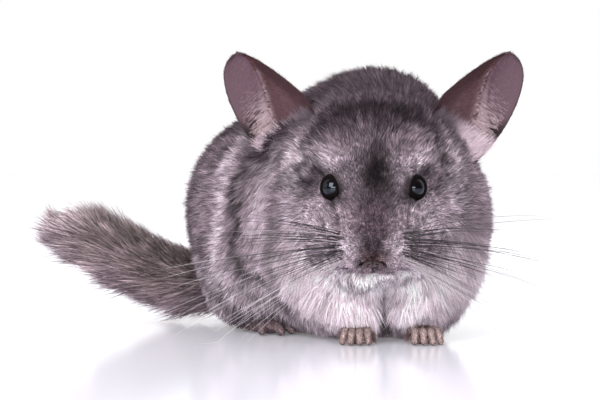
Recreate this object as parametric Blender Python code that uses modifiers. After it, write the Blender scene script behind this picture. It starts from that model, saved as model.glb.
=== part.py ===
"""A crouching chinchilla, life size, as a still museum model of solid pieces.

The animal faces -Y and its body runs back and to the viewer's left, with the tail swept
round to that side. Every solid reaches out to the tips of the coat. Masses of flesh are
ellipsoids with real sizes that melt into one smooth body, which thin cuts then part into
head, neck, trunk and limbs. Ears, eyes, nose, feet and tail are solids of their own, each set
in a socket with a hair's gap. "left" and "right" in names are the animal's own.
"""

import math

import bmesh
import bpy
import numpy as np
from mathutils import Euler, Matrix, Vector

MM = 0.001
GAP = 0.3 * MM
SOCKET_GAP = 0.8 * MM

# The head nearly faces the viewer. Its middle plane is X = 0 before its small turn, and
# Y = 0 is where the forepaws' toes meet the floor, until the last step moves the origin.
HEAD_TURN, HEAD_PIVOT = math.radians(-2.0), Vector((0.0, 20.0, 0.0)) * MM
EYE_ACROSS, EYE_DEEP, EYE_UP = 17.8 * MM, 12.6 * MM, 70.8 * MM
EYE_RADIUS = 6.3 * MM
NOSE_DEEP, NOSE_UP = -19.6 * MM, 42.0 * MM
NOSE_SIZE = Vector((5.0, 3.2, 4.2)) * MM

# The body's own line: its hips lie behind and to the left of its chest.
BODY_YAW = math.radians(20.0)
HIPS = Vector((-26.0, 110.0, 0.0)) * MM

# The ear is a scoop: its length, its widest reach to each side and how deep it is hollowed.
EAR_ROOT = Vector((36.0, 47.0, 88.0)) * MM
EAR_TIP = Vector((65.6, 50.5, 133.6)) * MM
EAR_FACING = Vector((0.38, -0.92, -0.05))
EAR_OUTER, EAR_INNER, EAR_HOLLOW = 17.8 * MM, 17.5 * MM, 9.5 * MM
EAR_THICK = 1.3 * MM
EAR_ROWS, EAR_COLUMNS = 9, 6

# The animal's two sides, as signs of X when it faces the viewer.
SIDES = {"right": -1, "left": 1}

# Forepaws, then hind feet: where each sole's middle is, its half sizes, and its toes' number,
# length, radius and fan.
FOREPAWS = {"right": Vector((-7.4, 10.5, 0.0)) * MM, "left": Vector((22.6, 11.0, 0.0)) * MM}
FOREPAW_SIZE = Vector((6.8, 9.5, 3.9)) * MM
FOREPAW_TURN = {"right": math.radians(-6.0), "left": math.radians(8.0)}
FINGERS = (4, 7.5 * MM, 2.2 * MM, 0.22)
HIND_ACROSS, HIND_ALONG = 36.4, -24.0
HIND_FOOT_SIZE = Vector((7.5, 27.0, 4.6)) * MM
HIND_TOES = (3, 11.0 * MM, 2.6 * MM, 0.3)
CLAW_LENGTH, CLAW_RADIUS = 1.4 * MM, 0.7 * MM

# The tail: the middle of its brush at each station, and the brush's half thickness there.
TAIL_LINE = [
    ((-38, 148, 34), 11),
    ((-55, 154, 26), 14.5),
    ((-75, 147, 20.5), 16),
    ((-95, 136, 22), 17.5),
    ((-113, 128, 29), 20),
    ((-130, 124, 37), 22.5),
    ((-146, 122, 45.5), 20.5),
    ((-156, 121.5, 50.5), 14.5),
    ((-164, 121, 53.5), 5),
]
TAIL_ROUNDNESS, TAIL_STEPS = 4, 3
TAIL_PARTED_AT = (-84.0, -127.0)

# How softly masses melt together, the grids their skins are found on, and the share of faces
# that is kept.
TRUNK_SOFTNESS, HEAD_SOFTNESS = 5.0 * MM, 4.0 * MM
BODY_LOW, BODY_HIGH = Vector((-110, -30, -12)) * MM, Vector((80, 180, 140)) * MM
BODY_STEP, KEPT_FACES = 3.0 * MM, 0.07
PAW_STEP, PAW_KEPT_FACES = 0.8 * MM, 0.05

# Cuts reach past the animal by this many millimetres. The forelegs part at the breast line,
# and a haunch is what lies in a round mass beside the hips.
FAR = 400.0
FLOOR = [(-FAR, -FAR), (FAR, -FAR), (FAR, 0.0), (-FAR, 0.0)]
BREAST_LINE = 4.6
HAUNCH_PLACE, HAUNCH_SIZE = (42, -8, 28), Vector((30, 42, 34))

FUR_GREY = (0.30, 0.24, 0.29)
TAIL_GREY = (0.22, 0.18, 0.21)
EAR_MAUVE = (0.17, 0.10, 0.12)
PAW_BUFF = (0.33, 0.25, 0.26)
EYE_BLACK = (0.008, 0.007, 0.009)
NOSE_BROWN = (0.15, 0.09, 0.10)


def clear_scene():
    for obj in list(bpy.data.objects):
        bpy.data.objects.remove(obj, do_unlink=True)


def new_collection(name):
    collection = bpy.data.collections.new(name)
    bpy.context.scene.collection.children.link(collection)
    return collection


def new_material(name, colour, roughness):
    material = bpy.data.materials.new(name)
    material.use_nodes = True
    shader = material.node_tree.nodes["Principled BSDF"]
    shader.inputs["Base Color"].default_value = (*colour, 1.0)
    shader.inputs["Roughness"].default_value = roughness
    shader.inputs["Metallic"].default_value = 0.0
    return material


def object_from(name, mesh, collection):
    obj = bpy.data.objects.new(name, mesh)
    collection.objects.link(obj)
    return obj


def helper_object(name, mesh):
    obj = object_from(name, mesh, HELPERS)
    obj.hide_render = True
    obj.display_type = "WIRE"
    return obj


def mesh_from(name, shape):
    mesh = bpy.data.meshes.new(name)
    shape.to_mesh(mesh)
    shape.free()
    return mesh


def frozen(obj, name):
    """The object as its modifiers leave it, as a plain mesh in place. The object is removed."""
    bpy.context.view_layer.update()
    graph = bpy.context.evaluated_depsgraph_get()
    mesh = bpy.data.meshes.new_from_object(obj.evaluated_get(graph), depsgraph=graph)
    mesh.transform(obj.matrix_world)
    mesh.name = name
    bpy.data.objects.remove(obj, do_unlink=True)
    return mesh


def ellipsoid(centre, radii, segments=24, rings=14):
    """A sphere stretched to three radii and placed."""
    shape = bmesh.new()
    bmesh.ops.create_uvsphere(shape, u_segments=segments, v_segments=rings, radius=1.0)
    stretch = Matrix.Diagonal((*radii, 1.0))
    bmesh.ops.transform(shape, matrix=Matrix.Translation(centre) @ stretch, verts=shape.verts)
    return mesh_from("ellipsoid", shape)


def from_ellipsoid(places, centre, radii, turn):
    """Distance of each place from an ellipsoid, near enough: |q| (|q| - 1) / |q / r|.

    q is the place seen from the centre, turned back and divided by the radii r.
    """
    rotation = np.array(Euler(turn, "XYZ").to_matrix())
    seen = ((places - np.array(centre)) @ rotation) / np.array(radii)
    size = np.linalg.norm(seen, axis=-1) + 1e-9
    slope = np.linalg.norm(seen / np.array(radii), axis=-1) + 1e-9
    return size * (size - 1.0) / slope


def from_finger(places, start, end, start_radius, end_radius):
    """Distance of each place from a straight finger whose radius changes along it."""
    start, along = np.array(start), np.array(end) - np.array(start)
    share = np.clip(((places - start) @ along) / (along @ along), 0.0, 1.0)
    nearest = start + share[..., None] * along
    radius = start_radius + (end_radius - start_radius) * share
    return np.linalg.norm(places - nearest, axis=-1) - radius


def blended(distances, softness):
    """One distance for several masses that melt together: -k log(sum of exp(-d / k))."""
    total = sum(np.exp(-np.clip(d / softness, -40.0, 40.0)) for d in distances)
    return -softness * np.log(total)


def skin_around(name, field, low, high, step, kept=1.0):
    """A closed mesh where a distance field is nought, one vertex in each grid cell it crosses.

    Each edge of the grid whose ends lie on both sides gives one quad between the four cells
    around it. A cell's vertex is the mean of the crossings on its edges.
    """
    axes = [np.arange(a, b + step, step) for a, b in zip(low, high)]
    places = np.stack(np.meshgrid(*axes, indexing="ij"), axis=-1)
    values = field(places)
    shape = np.array(values.shape)
    total, count = np.zeros((*shape, 3)), np.zeros(shape)
    quads = []
    for axis in range(3):
        near = [slice(None)] * 3
        near[axis] = slice(0, -1)
        far = [slice(None)] * 3
        far[axis] = slice(1, None)
        first, second = values[tuple(near)], values[tuple(far)]
        corner = np.argwhere((first < 0) != (second < 0))
        before = first[tuple(corner.T)]
        share = before / (before - second[tuple(corner.T)])
        crossing = places[tuple(corner.T)].copy()
        crossing[:, axis] += share * step
        others = [(axis + 1) % 3, (axis + 2) % 3]
        cells = []
        for back in ((1, 1), (0, 1), (0, 0), (1, 0)):
            cell = corner.copy()
            cell[:, others[0]] -= back[0]
            cell[:, others[1]] -= back[1]
            np.add.at(total, tuple(cell.T), crossing)
            np.add.at(count, tuple(cell.T), 1)
            cells.append(np.ravel_multi_index(tuple(cell.T), tuple(shape)))
        faces = np.stack(cells, axis=1)
        inward = before >= 0
        faces[inward] = faces[inward][:, ::-1]
        quads.append(faces)
    quads = np.concatenate(quads)
    used, numbered = np.unique(quads, return_inverse=True)
    corners = total.reshape(-1, 3)[used] / count.reshape(-1)[used][:, None]
    mesh = bpy.data.meshes.new(name)
    mesh.from_pydata(corners.tolist(), [], numbered.reshape(-1, 4).tolist())
    obj = helper_object(name, mesh)
    if kept < 1.0:
        lighter = obj.modifiers.new("lighter", "DECIMATE")
        lighter.ratio = kept
    return frozen(obj, name)


def prism(name, outline, across):
    """A cutter: an outline in millimetres, carried right through along X or along Z."""
    place = {"X": lambda a, b, c: (c, a, b), "Z": lambda a, b, c: (a, b, c)}[across]
    shape = bmesh.new()
    corners = [shape.verts.new(Vector(place(a, b, -FAR)) * MM) for a, b in outline]
    face = shape.faces.new(corners)
    swept = bmesh.ops.extrude_face_region(shape, geom=[face])["geom"]
    ends = [item for item in swept if isinstance(item, bmesh.types.BMVert)]
    bmesh.ops.translate(shape, vec=Vector(place(0.0, 0.0, 2 * FAR)) * MM, verts=ends)
    bmesh.ops.recalc_face_normals(shape, faces=shape.faces)
    return helper_object(name, mesh_from(name, shape))


def grown(mesh, by):
    """A copy of a closed mesh with every face moved out by a small distance."""
    obj = helper_object("grown", mesh.copy())
    swell = obj.modifiers.new("swell", "DISPLACE")
    swell.direction = "NORMAL"
    swell.mid_level = 0.0
    swell.strength = by
    return helper_object("grown_cutter", frozen(obj, "grown"))


def boolean(mesh, operation, *cutters):
    """The mesh after one Boolean for each cutter."""
    obj = helper_object("worked", mesh)
    for cutter in cutters:
        step = obj.modifiers.new("cut", "BOOLEAN")
        step.operation = operation
        step.solver = "MANIFOLD"
        step.object = cutter
    return frozen(obj, mesh.name)


def largest_piece(mesh):
    """Only the mesh's largest connected body, without crumbs that a cut left."""
    shape = bmesh.new()
    shape.from_mesh(mesh)
    waiting, bodies = set(shape.verts), []
    while waiting:
        body, front = set(), [waiting.pop()]
        while front:
            vert = front.pop()
            body.add(vert)
            for edge in vert.link_edges:
                other = edge.other_vert(vert)
                if other in waiting:
                    waiting.remove(other)
                    front.append(other)
        bodies.append(body)
    keep = max(bodies, key=len)
    bmesh.ops.delete(shape, geom=[v for v in shape.verts if v not in keep], context="VERTS")
    return mesh_from(mesh.name, shape)


def part(name, mesh, material):
    """One finished piece of the animal, shaded smooth, under the animal's empty."""
    mesh = largest_piece(mesh)
    mesh.name = name
    mesh.materials.clear()
    mesh.materials.append(material)
    mesh.shade_smooth()
    mesh.set_sharp_from_angle(angle=math.radians(50.0))
    obj = object_from(name, mesh, ANIMAL)
    obj.parent = ROOT
    return obj


def from_hips(across, along, up):
    """A place given from the hips: across to the animal's left, along to its rump, and up."""
    turn = Matrix.Rotation(BODY_YAW, 3, "Z")
    return HIPS + turn @ (Vector((across, along, up)) * MM)


def body_masses():
    """Ellipsoids of the trunk, neck, chest and haunches: (centre, radii, turn)."""
    yaw = (0.0, 0.0, BODY_YAW)
    level = (0.0, 0.0, 0.0)
    masses = [
        (from_hips(0, 4, 56.5), (65, 50, 54), yaw),
        (from_hips(6, -26, 60), (63, 50, 58), yaw),
        (from_hips(12, -62, 56), (55, 40, 50), yaw),
        (Vector((2, 74, 91)) * MM, (36, 27, 36), level),
        (Vector((2, 54, 84)) * MM, (40, 28, 30), level),
        (from_hips(0, 26, 42), (48, 34, 36), yaw),
        (from_hips(4, -36, 34), (50, 56, 30), yaw),
        (Vector((5, 38, 38)) * MM, (49, 27, 34), level),
    ]
    for side in (-1, 1):
        masses.append((from_hips(side * 37, -10, 33), (26, 36, 27.5), yaw))
    for side in (-1, 1):
        masses.append((Vector((5.5 + side * 17, 23, 23)) * MM, (13.5, 15, 20), level))
    return masses


def head_masses():
    """Ellipsoids of the skull, face, muzzle, cheeks and brows: (centre, radii, turn)."""
    slope = math.radians(-40.0)
    masses = [
        (Vector((0, 42, 86)) * MM, (33, 26, 28), (0.0, 0.0, 0.0)),
        (Vector((0, 13.5, 68)) * MM, (13, 11.5, 33), (slope, 0.0, 0.0)),
        (Vector((0, -1, 45)) * MM, (15, 14, 11), (0.0, 0.0, 0.0)),
        (Vector((0, 6, 36)) * MM, (14, 14, 8), (0.0, 0.0, 0.0)),
    ]
    for side in (-1, 1):
        masses += [
            (Vector((side * 10, -5.5, 44)) * MM, (9, 10, 9), (0.0, 0.0, 0.0)),
            (Vector((side * 17, 15, 50)) * MM, (14, 19, 16.5), (0.0, 0.0, side * 0.4)),
            (Vector((side * 26, 36, 66)) * MM, (17, 20, 26), (0.0, 0.0, side * 0.3)),
            (Vector((side * 11, 16, 82)) * MM, (6, 7, 4), (0.0, 0.0, side * 0.7)),
        ]
    return masses


def whole_body():
    """All the flesh but ears, feet and tail, as one smooth closed mesh."""
    turn = np.array(Matrix.Rotation(HEAD_TURN, 3, "Z"))
    pivot = np.array(HEAD_PIVOT)

    def field(places):
        seen = (places - pivot) @ turn + pivot
        trunk = [
            from_ellipsoid(places, centre, np.array(radii) * MM, yaw)
            for centre, radii, yaw in body_masses()
        ]
        head = [
            from_ellipsoid(seen, centre, np.array(radii) * MM, tilt)
            for centre, radii, tilt in head_masses()
        ]
        joined = [blended(trunk, TRUNK_SOFTNESS), blended(head, HEAD_SOFTNESS)]
        return blended(joined, HEAD_SOFTNESS)

    return skin_around("whole", field, BODY_LOW, BODY_HIGH, BODY_STEP, KEPT_FACES)


def turned_with_head(mesh):
    """Carries a mesh along with the head's small turn."""
    back = Matrix.Translation(-HEAD_PIVOT)
    mesh.transform(Matrix.Translation(HEAD_PIVOT) @ Matrix.Rotation(HEAD_TURN, 4, "Z") @ back)
    return mesh


def eye_mesh(side):
    """One round eye."""
    centre = Vector((side * EYE_ACROSS, EYE_DEEP, EYE_UP))
    return turned_with_head(ellipsoid(centre, [EYE_RADIUS] * 3, 14, 9))


def ear_mesh(side):
    """A scoop along the ear's axis, its rims brought forward, given its thickness.

    A grid's a runs from root to tip and b from the inner rim, -1, to the outer one, 1. The
    outer rim swells like an ellipse, the inner one runs nearly straight to the tip, and the
    middle is hollowed by a share of 1 - b squared.
    """
    shape = bmesh.new()
    bmesh.ops.create_grid(shape, x_segments=EAR_ROWS, y_segments=EAR_COLUMNS, size=1.0)
    axis = EAR_TIP - EAR_ROOT
    length = axis.length
    axis.normalize()
    facing = (EAR_FACING - EAR_FACING.dot(axis) * axis).normalized()
    outward = axis.cross(facing)
    if outward.x < 0:
        outward.negate()
    for vert in shape.verts:
        a, b = (vert.co.x + 1) / 2, vert.co.y
        outer = EAR_OUTER * max(0.0, 1.004 - ((a - 0.42) / 0.58) ** 2) ** 0.6
        inner = EAR_INNER * max(0.003, min(1.0, (1.004 - a) / 0.63)) ** 0.85
        reach = outer * b if b > 0 else inner * b
        hollow = EAR_HOLLOW * (1 - b * b) * (1.15 - 0.85 * a)
        lean = 1.5 * MM * math.sin(math.pi * a)
        place = EAR_ROOT + axis * (a * length) + outward * reach - facing * (hollow + lean)
        vert.co = (side * place.x, place.y, place.z)
    bmesh.ops.recalc_face_normals(shape, faces=shape.faces)
    obj = helper_object("ear", mesh_from("ear", shape))
    thicken = obj.modifiers.new("thickness", "SOLIDIFY")
    thicken.thickness = EAR_THICK
    thicken.offset = 0.0
    rounded = obj.modifiers.new("rounded", "BEVEL")
    rounded.width = 0.25 * EAR_THICK
    rounded.segments = 1
    rounded.angle_limit = math.radians(60.0)
    return turned_with_head(frozen(obj, "ear"))


def paw_mesh(centre, size, turn, digits):
    """A sole with its toes fanned forward and a claw at each tip, in one smooth skin."""
    toes, toe_length, toe_radius, fan = digits
    shapes = []
    for n in range(toes):
        share = 2 * n / (toes - 1) - 1
        angle = share * fan
        ahead = Vector((math.sin(angle), -math.cos(angle), 0.0))
        knuckle = (0.12 * abs(share) - 0.62) * size.y
        root = Vector((share * size.x * 0.62, knuckle, 1.2 * toe_radius))
        tip = root + ahead * toe_length * (1 - 0.22 * abs(share))
        tip.z = 0.8 * toe_radius
        nail = tip + ahead * (CLAW_LENGTH + 0.85 * toe_radius)
        nail.z = CLAW_RADIUS
        shapes.append((root, tip, toe_radius, 0.85 * toe_radius))
        shapes.append((tip, nail, 1.4 * CLAW_RADIUS, CLAW_RADIUS))

    def field(places):
        sole = from_ellipsoid(places, (0.0, 0.0, 0.82 * size.z), size, (0.0, 0.0, 0.0))
        return blended([sole] + [from_finger(places, *shape) for shape in shapes], 0.35 * MM)

    reach = size.y + toe_length + CLAW_LENGTH + toe_radius
    margin = 2 * MM
    low = Vector((-1.6 * size.x - margin, -reach - margin, -size.z))
    high = Vector((1.6 * size.x + margin, size.y + margin, 2 * size.z + margin))
    mesh = skin_around("paw", field, low, high, PAW_STEP, PAW_KEPT_FACES)
    mesh.transform(Matrix.Translation(centre) @ Matrix.Rotation(turn, 4, "Z"))
    return boolean(mesh, "DIFFERENCE", prism("floor", FLOOR, "X"))


def tail_mesh():
    """A brush of round sections carried along the tail's line, closed at both ends."""
    stations = np.array([place for place, _ in TAIL_LINE]) * MM
    radii = np.array([radius for _, radius in TAIL_LINE]) * MM
    curve = bpy.data.curves.new("tail_line", "CURVE")
    curve.dimensions = "3D"
    curve.bevel_depth = 1.0
    curve.bevel_resolution = TAIL_ROUNDNESS
    curve.use_fill_caps = True
    curve.resolution_u = TAIL_STEPS
    spline = curve.splines.new("NURBS")
    spline.points.add(len(stations) - 1)
    spline.use_endpoint_u = True
    spline.order_u = 4
    for point, place, radius in zip(spline.points, stations, radii):
        point.co = (*place, 1.0)
        point.radius = radius
    obj = object_from("tail_line", curve, HELPERS)
    mesh = frozen(obj, "tail")
    shape = bmesh.new()
    shape.from_mesh(mesh)
    bmesh.ops.remove_doubles(shape, verts=shape.verts, dist=1e-5)
    bmesh.ops.recalc_face_normals(shape, faces=shape.faces)
    return mesh_from("tail", shape)


def head_outline(step):
    """Side view of the head's share of the body, moved out by a step in millimetres."""
    return [
        (-80, 18 - step),
        (12, 18 - step),
        (28 + step, 28),
        (66 + step, 110),
        (78 + step, 170),
        (-80, 170),
    ]


def neck_outline(step):
    """Side view of the neck: a band behind the head, down to the throat."""
    return [(20, 28 - step), (52 + step, 24 - step), (86 + step, 110), (98 + step, 170), (20, 170)]


def foreleg_outline(step):
    """Side view of the forelegs' share of the chest."""
    return [(-60, -30), (44 + step, -30), (44 + step, 30), (-60, 30)]


def side_view_cut(outline_of):
    """Gives, for a step in millimetres, a cutter with a side view that spans the animal."""
    return lambda step: prism("side_view_cut", outline_of(step), "X")


def haunch_cut(side):
    """Gives, for a step in millimetres, the round mass that marks off one hind leg."""
    across, along, up = HAUNCH_PLACE
    centre = from_hips(side * across, along, up)

    def cutter(step):
        radii = (HAUNCH_SIZE + Vector((step, step, step))) * MM
        mesh = ellipsoid(Vector((0, 0, 0)), radii, 20, 11)
        mesh.transform(Matrix.Translation(centre) @ Matrix.Rotation(BODY_YAW, 4, "Z"))
        return helper_object("haunch_cut", mesh)

    return cutter


def plane_cut(edge):
    """Gives, for a step in millimetres, a block of all that lies on the lower side of an X."""

    def cutter(step):
        outline = [(-FAR, -FAR), (edge + step, -FAR), (edge + step, FAR), (-FAR, FAR)]
        return prism("plane_cut", outline, "Z")

    return cutter


def split(mesh, cutter_of):
    """The mesh's share inside a cutter, and the rest of it, a gap apart."""
    half = GAP / MM / 2
    inside = boolean(mesh.copy(), "INTERSECT", cutter_of(-half))
    outside = boolean(mesh.copy(), "DIFFERENCE", cutter_of(half))
    return inside, outside


def make_flesh(body):
    """Parts the body into head, neck, trunk and legs, a gap apart."""
    fur = new_material("fur", FUR_GREY, 0.85)
    head, rest = split(body, side_view_cut(head_outline))
    neck, rest = split(rest, side_view_cut(neck_outline))
    forelegs, rest = split(rest, side_view_cut(foreleg_outline))
    foreleg_right, foreleg_left = split(forelegs, plane_cut(BREAST_LINE))
    hindleg_right, rest = split(rest, haunch_cut(-1))
    hindleg_left, trunk = split(rest, haunch_cut(1))
    part("head", head, fur)
    part("neck", neck, fur)
    part("trunk", trunk, fur)
    part("foreleg_right", foreleg_right, fur)
    part("foreleg_left", foreleg_left, fur)
    part("hindleg_right", hindleg_right, fur)
    part("hindleg_left", hindleg_left, fur)


def make_tail(tail):
    """Parts the tail into three lengths."""
    tail_fur = new_material("tail_fur", TAIL_GREY, 0.85)
    outer, base = split(tail, plane_cut(TAIL_PARTED_AT[0]))
    tip, middle = split(outer, plane_cut(TAIL_PARTED_AT[1]))
    part("tail_base", base, tail_fur)
    part("tail_middle", middle, tail_fur)
    part("tail_tip", tip, tail_fur)


def build():
    eyes = {name: eye_mesh(side) for name, side in SIDES.items()}
    ears = {name: ear_mesh(side) for name, side in SIDES.items()}
    nose = turned_with_head(ellipsoid(Vector((0, NOSE_DEEP, NOSE_UP)), NOSE_SIZE, 12, 8))
    forepaws, hindfeet = {}, {}
    for name, side in SIDES.items():
        forepaws[name] = paw_mesh(FOREPAWS[name], FOREPAW_SIZE, FOREPAW_TURN[name], FINGERS)
        sole = from_hips(side * HIND_ACROSS, HIND_ALONG, 0)
        hindfeet[name] = paw_mesh(sole, HIND_FOOT_SIZE, BODY_YAW, HIND_TOES)
    tail = tail_mesh()

    guests = [*eyes.values(), nose, *ears.values(), tail, *forepaws.values(), *hindfeet.values()]
    sockets = [grown(mesh, SOCKET_GAP) for mesh in guests]
    body = boolean(whole_body(), "DIFFERENCE", *sockets, prism("floor", FLOOR, "X"))
    make_flesh(body)
    make_tail(tail)
    part("nose", nose, new_material("nose", NOSE_BROWN, 0.5))
    ear_skin = new_material("ear_skin", EAR_MAUVE, 0.6)
    paw_skin = new_material("paw_skin", PAW_BUFF, 0.7)
    eye_gloss = new_material("eye", EYE_BLACK, 0.05)
    for name in SIDES:
        part(f"ear_{name}", ears[name], ear_skin)
        part(f"eye_{name}", eyes[name], eye_gloss)
        part(f"forepaw_{name}", forepaws[name], paw_skin)
        part(f"hindfoot_{name}", hindfeet[name], paw_skin)


def centre_on_floor():
    """Moves the animal so that the origin is under the middle of its box, on the floor."""
    bpy.context.view_layer.update()
    pieces = [obj for obj in ANIMAL.objects if obj.type == "MESH"]
    places = np.array([obj.matrix_world @ vert.co for obj in pieces for vert in obj.data.vertices])
    low, high = places.min(axis=0), places.max(axis=0)
    ROOT.location = (-(low[0] + high[0]) / 2, -(low[1] + high[1]) / 2, -low[2])


clear_scene()
ANIMAL = new_collection("chinchilla")
HELPERS = new_collection("helpers")
HELPERS.hide_render = True
ROOT = object_from("chinchilla_root", None, ANIMAL)
build()
centre_on_floor()
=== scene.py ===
"""A standard grey chinchilla crouching on a white floor, with its whole coat as mesh.

Shapes are worked out in the animal's own millimetres: X across the head to the animal's left,
Y back from the tips of the forepaws, Z up from the floor. One skin is found where a distance
field of the animal's masses equals minus the coat's depth. Each tuft of the coat is a thin
tapering blade that grows from a random place on that skin and lies along the lie of the coat.
"left" and "right" in names are the animal's own.
"""

import math

import bpy
import numpy as np
from mathutils import Euler, Matrix, Vector


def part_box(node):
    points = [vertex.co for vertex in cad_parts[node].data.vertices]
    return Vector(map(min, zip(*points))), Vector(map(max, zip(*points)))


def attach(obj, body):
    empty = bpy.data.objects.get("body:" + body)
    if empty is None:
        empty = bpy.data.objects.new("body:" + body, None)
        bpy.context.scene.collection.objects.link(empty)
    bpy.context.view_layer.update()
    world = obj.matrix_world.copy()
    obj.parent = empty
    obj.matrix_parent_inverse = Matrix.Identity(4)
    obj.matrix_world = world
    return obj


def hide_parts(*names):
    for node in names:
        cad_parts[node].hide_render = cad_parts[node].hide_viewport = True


MM = 0.001
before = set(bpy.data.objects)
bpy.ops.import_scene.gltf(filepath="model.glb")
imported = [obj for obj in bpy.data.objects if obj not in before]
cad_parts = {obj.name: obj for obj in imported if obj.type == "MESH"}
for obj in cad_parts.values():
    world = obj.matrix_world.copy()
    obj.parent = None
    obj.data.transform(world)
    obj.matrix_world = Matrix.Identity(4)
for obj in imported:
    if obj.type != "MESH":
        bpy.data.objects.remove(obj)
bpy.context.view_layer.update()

# The head turns a little about a pivot, and the body's own line runs back from the chest.
HEAD_TURN = math.radians(-2.0)
HEAD_PIVOT = np.array((0.0, 20.0, 0.0))
BODY_YAW = math.radians(20.0)
HIPS = np.array((-26.0, 110.0, 0.0))
SIDES = {"right": -1, "left": 1}

EYE = np.array((17.8, 12.6, 70.8))
EYE_RADIUS = 6.3
NOSE = np.array((0.0, -19.6, 42.0))
NOSE_SIZE = np.array((5.0, 3.2, 4.2))

# The bare pad takes the lower share of the nose's solid.
NOSE_PAD = np.array((0.0, -15.9, 38.0))
NOSE_PAD_SHARE = np.array((0.72, 1.0, 0.42))

HEAD_MATRIX = np.array(Matrix.Rotation(HEAD_TURN, 3, "Z"))


def from_head(places):
    """Places made with the head facing straight ahead, turned with the head: (p - c) R' + c."""
    return (places - HEAD_PIVOT) @ HEAD_MATRIX.T + HEAD_PIVOT


def in_head(places):
    """Places as the straight-ahead head sees them: (p - c) R + c."""
    return (places - HEAD_PIVOT) @ HEAD_MATRIX + HEAD_PIVOT


def eye_middle():
    """The point midway between the two solid eyes, in metres."""
    corners = [np.array(corner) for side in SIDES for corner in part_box(f"eye_{side}")]
    return sum(corners) / len(corners)


ORIGIN = eye_middle() - from_head(EYE * (0, 1, 1)) * MM

# Ears: root, tip, facing, reach to the outer and the inner rim, hollow, wall.
EAR_ROOT = np.array((36.0, 47.0, 88.0))
EAR_TIP = np.array((65.6, 50.5, 133.6))
EAR_FACING = np.array((0.38, -0.92, -0.05))
EAR_OUTER, EAR_INNER, EAR_HOLLOW, EAR_WALL = 17.8, 17.5, 9.5, 1.1

# Feet: where each sole's middle is, half sizes and turn. Toes: number, length, radius, fan,
# and the knuckles' height in radii.
FOREPAWS = {"right": (-7.4, 10.5, 0.0), "left": (22.6, 11.0, 0.0)}
FOREPAW_SIZE, FOREPAW_TURN = (6.8, 9.5, 3.9), {"right": -6.0, "left": 8.0}
HIND_ACROSS, HIND_ALONG, HIND_FOOT_SIZE = 36.4, -24.0, (7.5, 27.0, 4.6)
FINGERS, HIND_TOES = (4, 7.6, 1.7, 0.24, 3.3), (3, 11.0, 2.3, 0.3, 1.6)

# The tail's brush: the middle and the half thickness at each station.
TAIL_LINE = [
    (-38, 148, 34, 11),
    (-55, 154, 26, 14.5),
    (-75, 147, 20.5, 16),
    (-95, 136, 22, 17.5),
    (-113, 128, 29, 20),
    (-130, 124, 37, 22.5),
    (-146, 122, 45.5, 20.5),
    (-156, 121.5, 50.5, 14.5),
    (-164, 121, 53.5, 5),
]
TAIL_FLESH = (7.5, 3.0)
TAIL_FLESH_ENDS = 0.80


def linear(hex_colour):
    """sRGB hex as linear light: ((c + 0.055) / 1.055) ** 2.4 above 0.04045, else c / 12.92."""
    values = np.array([int(hex_colour[i : i + 2], 16) / 255 for i in (1, 3, 5)])
    return np.where(values > 0.04045, ((values + 0.055) / 1.055) ** 2.4, values / 12.92)


# The coat's colours, as tufts show them in full light.
COAT_WHITE = linear("#eedee7")
COAT_SILVER = linear("#cdbdc8")
COAT_GREY = linear("#96858f")
COAT_SMOKE = linear("#483a42")
COAT_SLATE = linear("#1f161a")
COAT_SABLE = linear("#0b0708")
NOSE_BROWN = linear("#4d393c")
TAIL_BROWN = linear("#8a7b7c")
EAR_BROWN = linear("#4a3134")
EAR_LILAC = linear("#59444c")
EAR_DARK = linear("#1f1114")
EAR_PINK = linear("#c3aab0")
PAW_BUFF = linear("#c4aba9")
PAW_DARK = linear("#3c2526")


def ramp(value, low, high):
    """Soft step from 0 at low to 1 at high: t t (3 - 2 t)."""
    t = np.clip((value - low) / (high - low), 0.0, 1.0)
    return t * t * (3 - 2 * t)


def mixed(first, second, share):
    """first (1 - share) + second share, with one share for each place."""
    return first + (second - first) * np.asarray(share)[..., None]


def waves(places, wavelength, seed, count=14):
    """Smooth noise of about unit spread: a sum of sines along random directions."""
    rng = np.random.default_rng(seed)
    ways = rng.normal(size=(count, 3))
    ways /= np.linalg.norm(ways, axis=1, keepdims=True)
    ways *= rng.uniform(0.6, 1.7, (count, 1)) * 2 * math.pi / wavelength
    phases = rng.uniform(0, 2 * math.pi, count)
    return np.sin(places @ ways.T + phases).sum(axis=-1) / math.sqrt(count / 2)


def unit(vectors):
    """Each vector divided by its length."""
    return vectors / (np.linalg.norm(vectors, axis=-1, keepdims=True) + 1e-9)


def along_skin(vectors, normals):
    """Each vector without its share along the normal, made a unit: v - (v . n) n."""
    return unit(vectors - (vectors * normals).sum(axis=-1, keepdims=True) * normals)


def from_hips(across, along, up):
    """A place given from the hips: across to the animal's left, along to its rump, and up."""
    c, s = math.cos(BODY_YAW), math.sin(BODY_YAW)
    return (HIPS[0] + c * across - s * along, HIPS[1] + s * across + c * along, up)


def in_body(places):
    """Places as seen from the hips: across, along, up."""
    c, s = math.cos(BODY_YAW), math.sin(BODY_YAW)
    x, y = places[..., 0] - HIPS[0], places[..., 1] - HIPS[1]
    return c * x + s * y, c * y - s * x, places[..., 2]


def ellipsoid(places, centre, radii, turn):
    """Distance from an ellipsoid, near enough: |q| (|q| - 1) / |q / r|.

    q is the place seen from the centre, turned back and divided by the radii r.
    """
    seen = places - np.array(centre, np.float32)
    if any(turn):
        seen = seen @ np.array(Euler(turn, "XYZ").to_matrix(), np.float32)
    seen = seen / np.array(radii, np.float32)
    size = np.sqrt(np.einsum("...i,...i", seen, seen)) + 1e-6
    seen /= np.array(radii, np.float32)
    slope = np.sqrt(np.einsum("...i,...i", seen, seen)) + 1e-6
    return size * (size - 1.0) / slope


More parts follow.
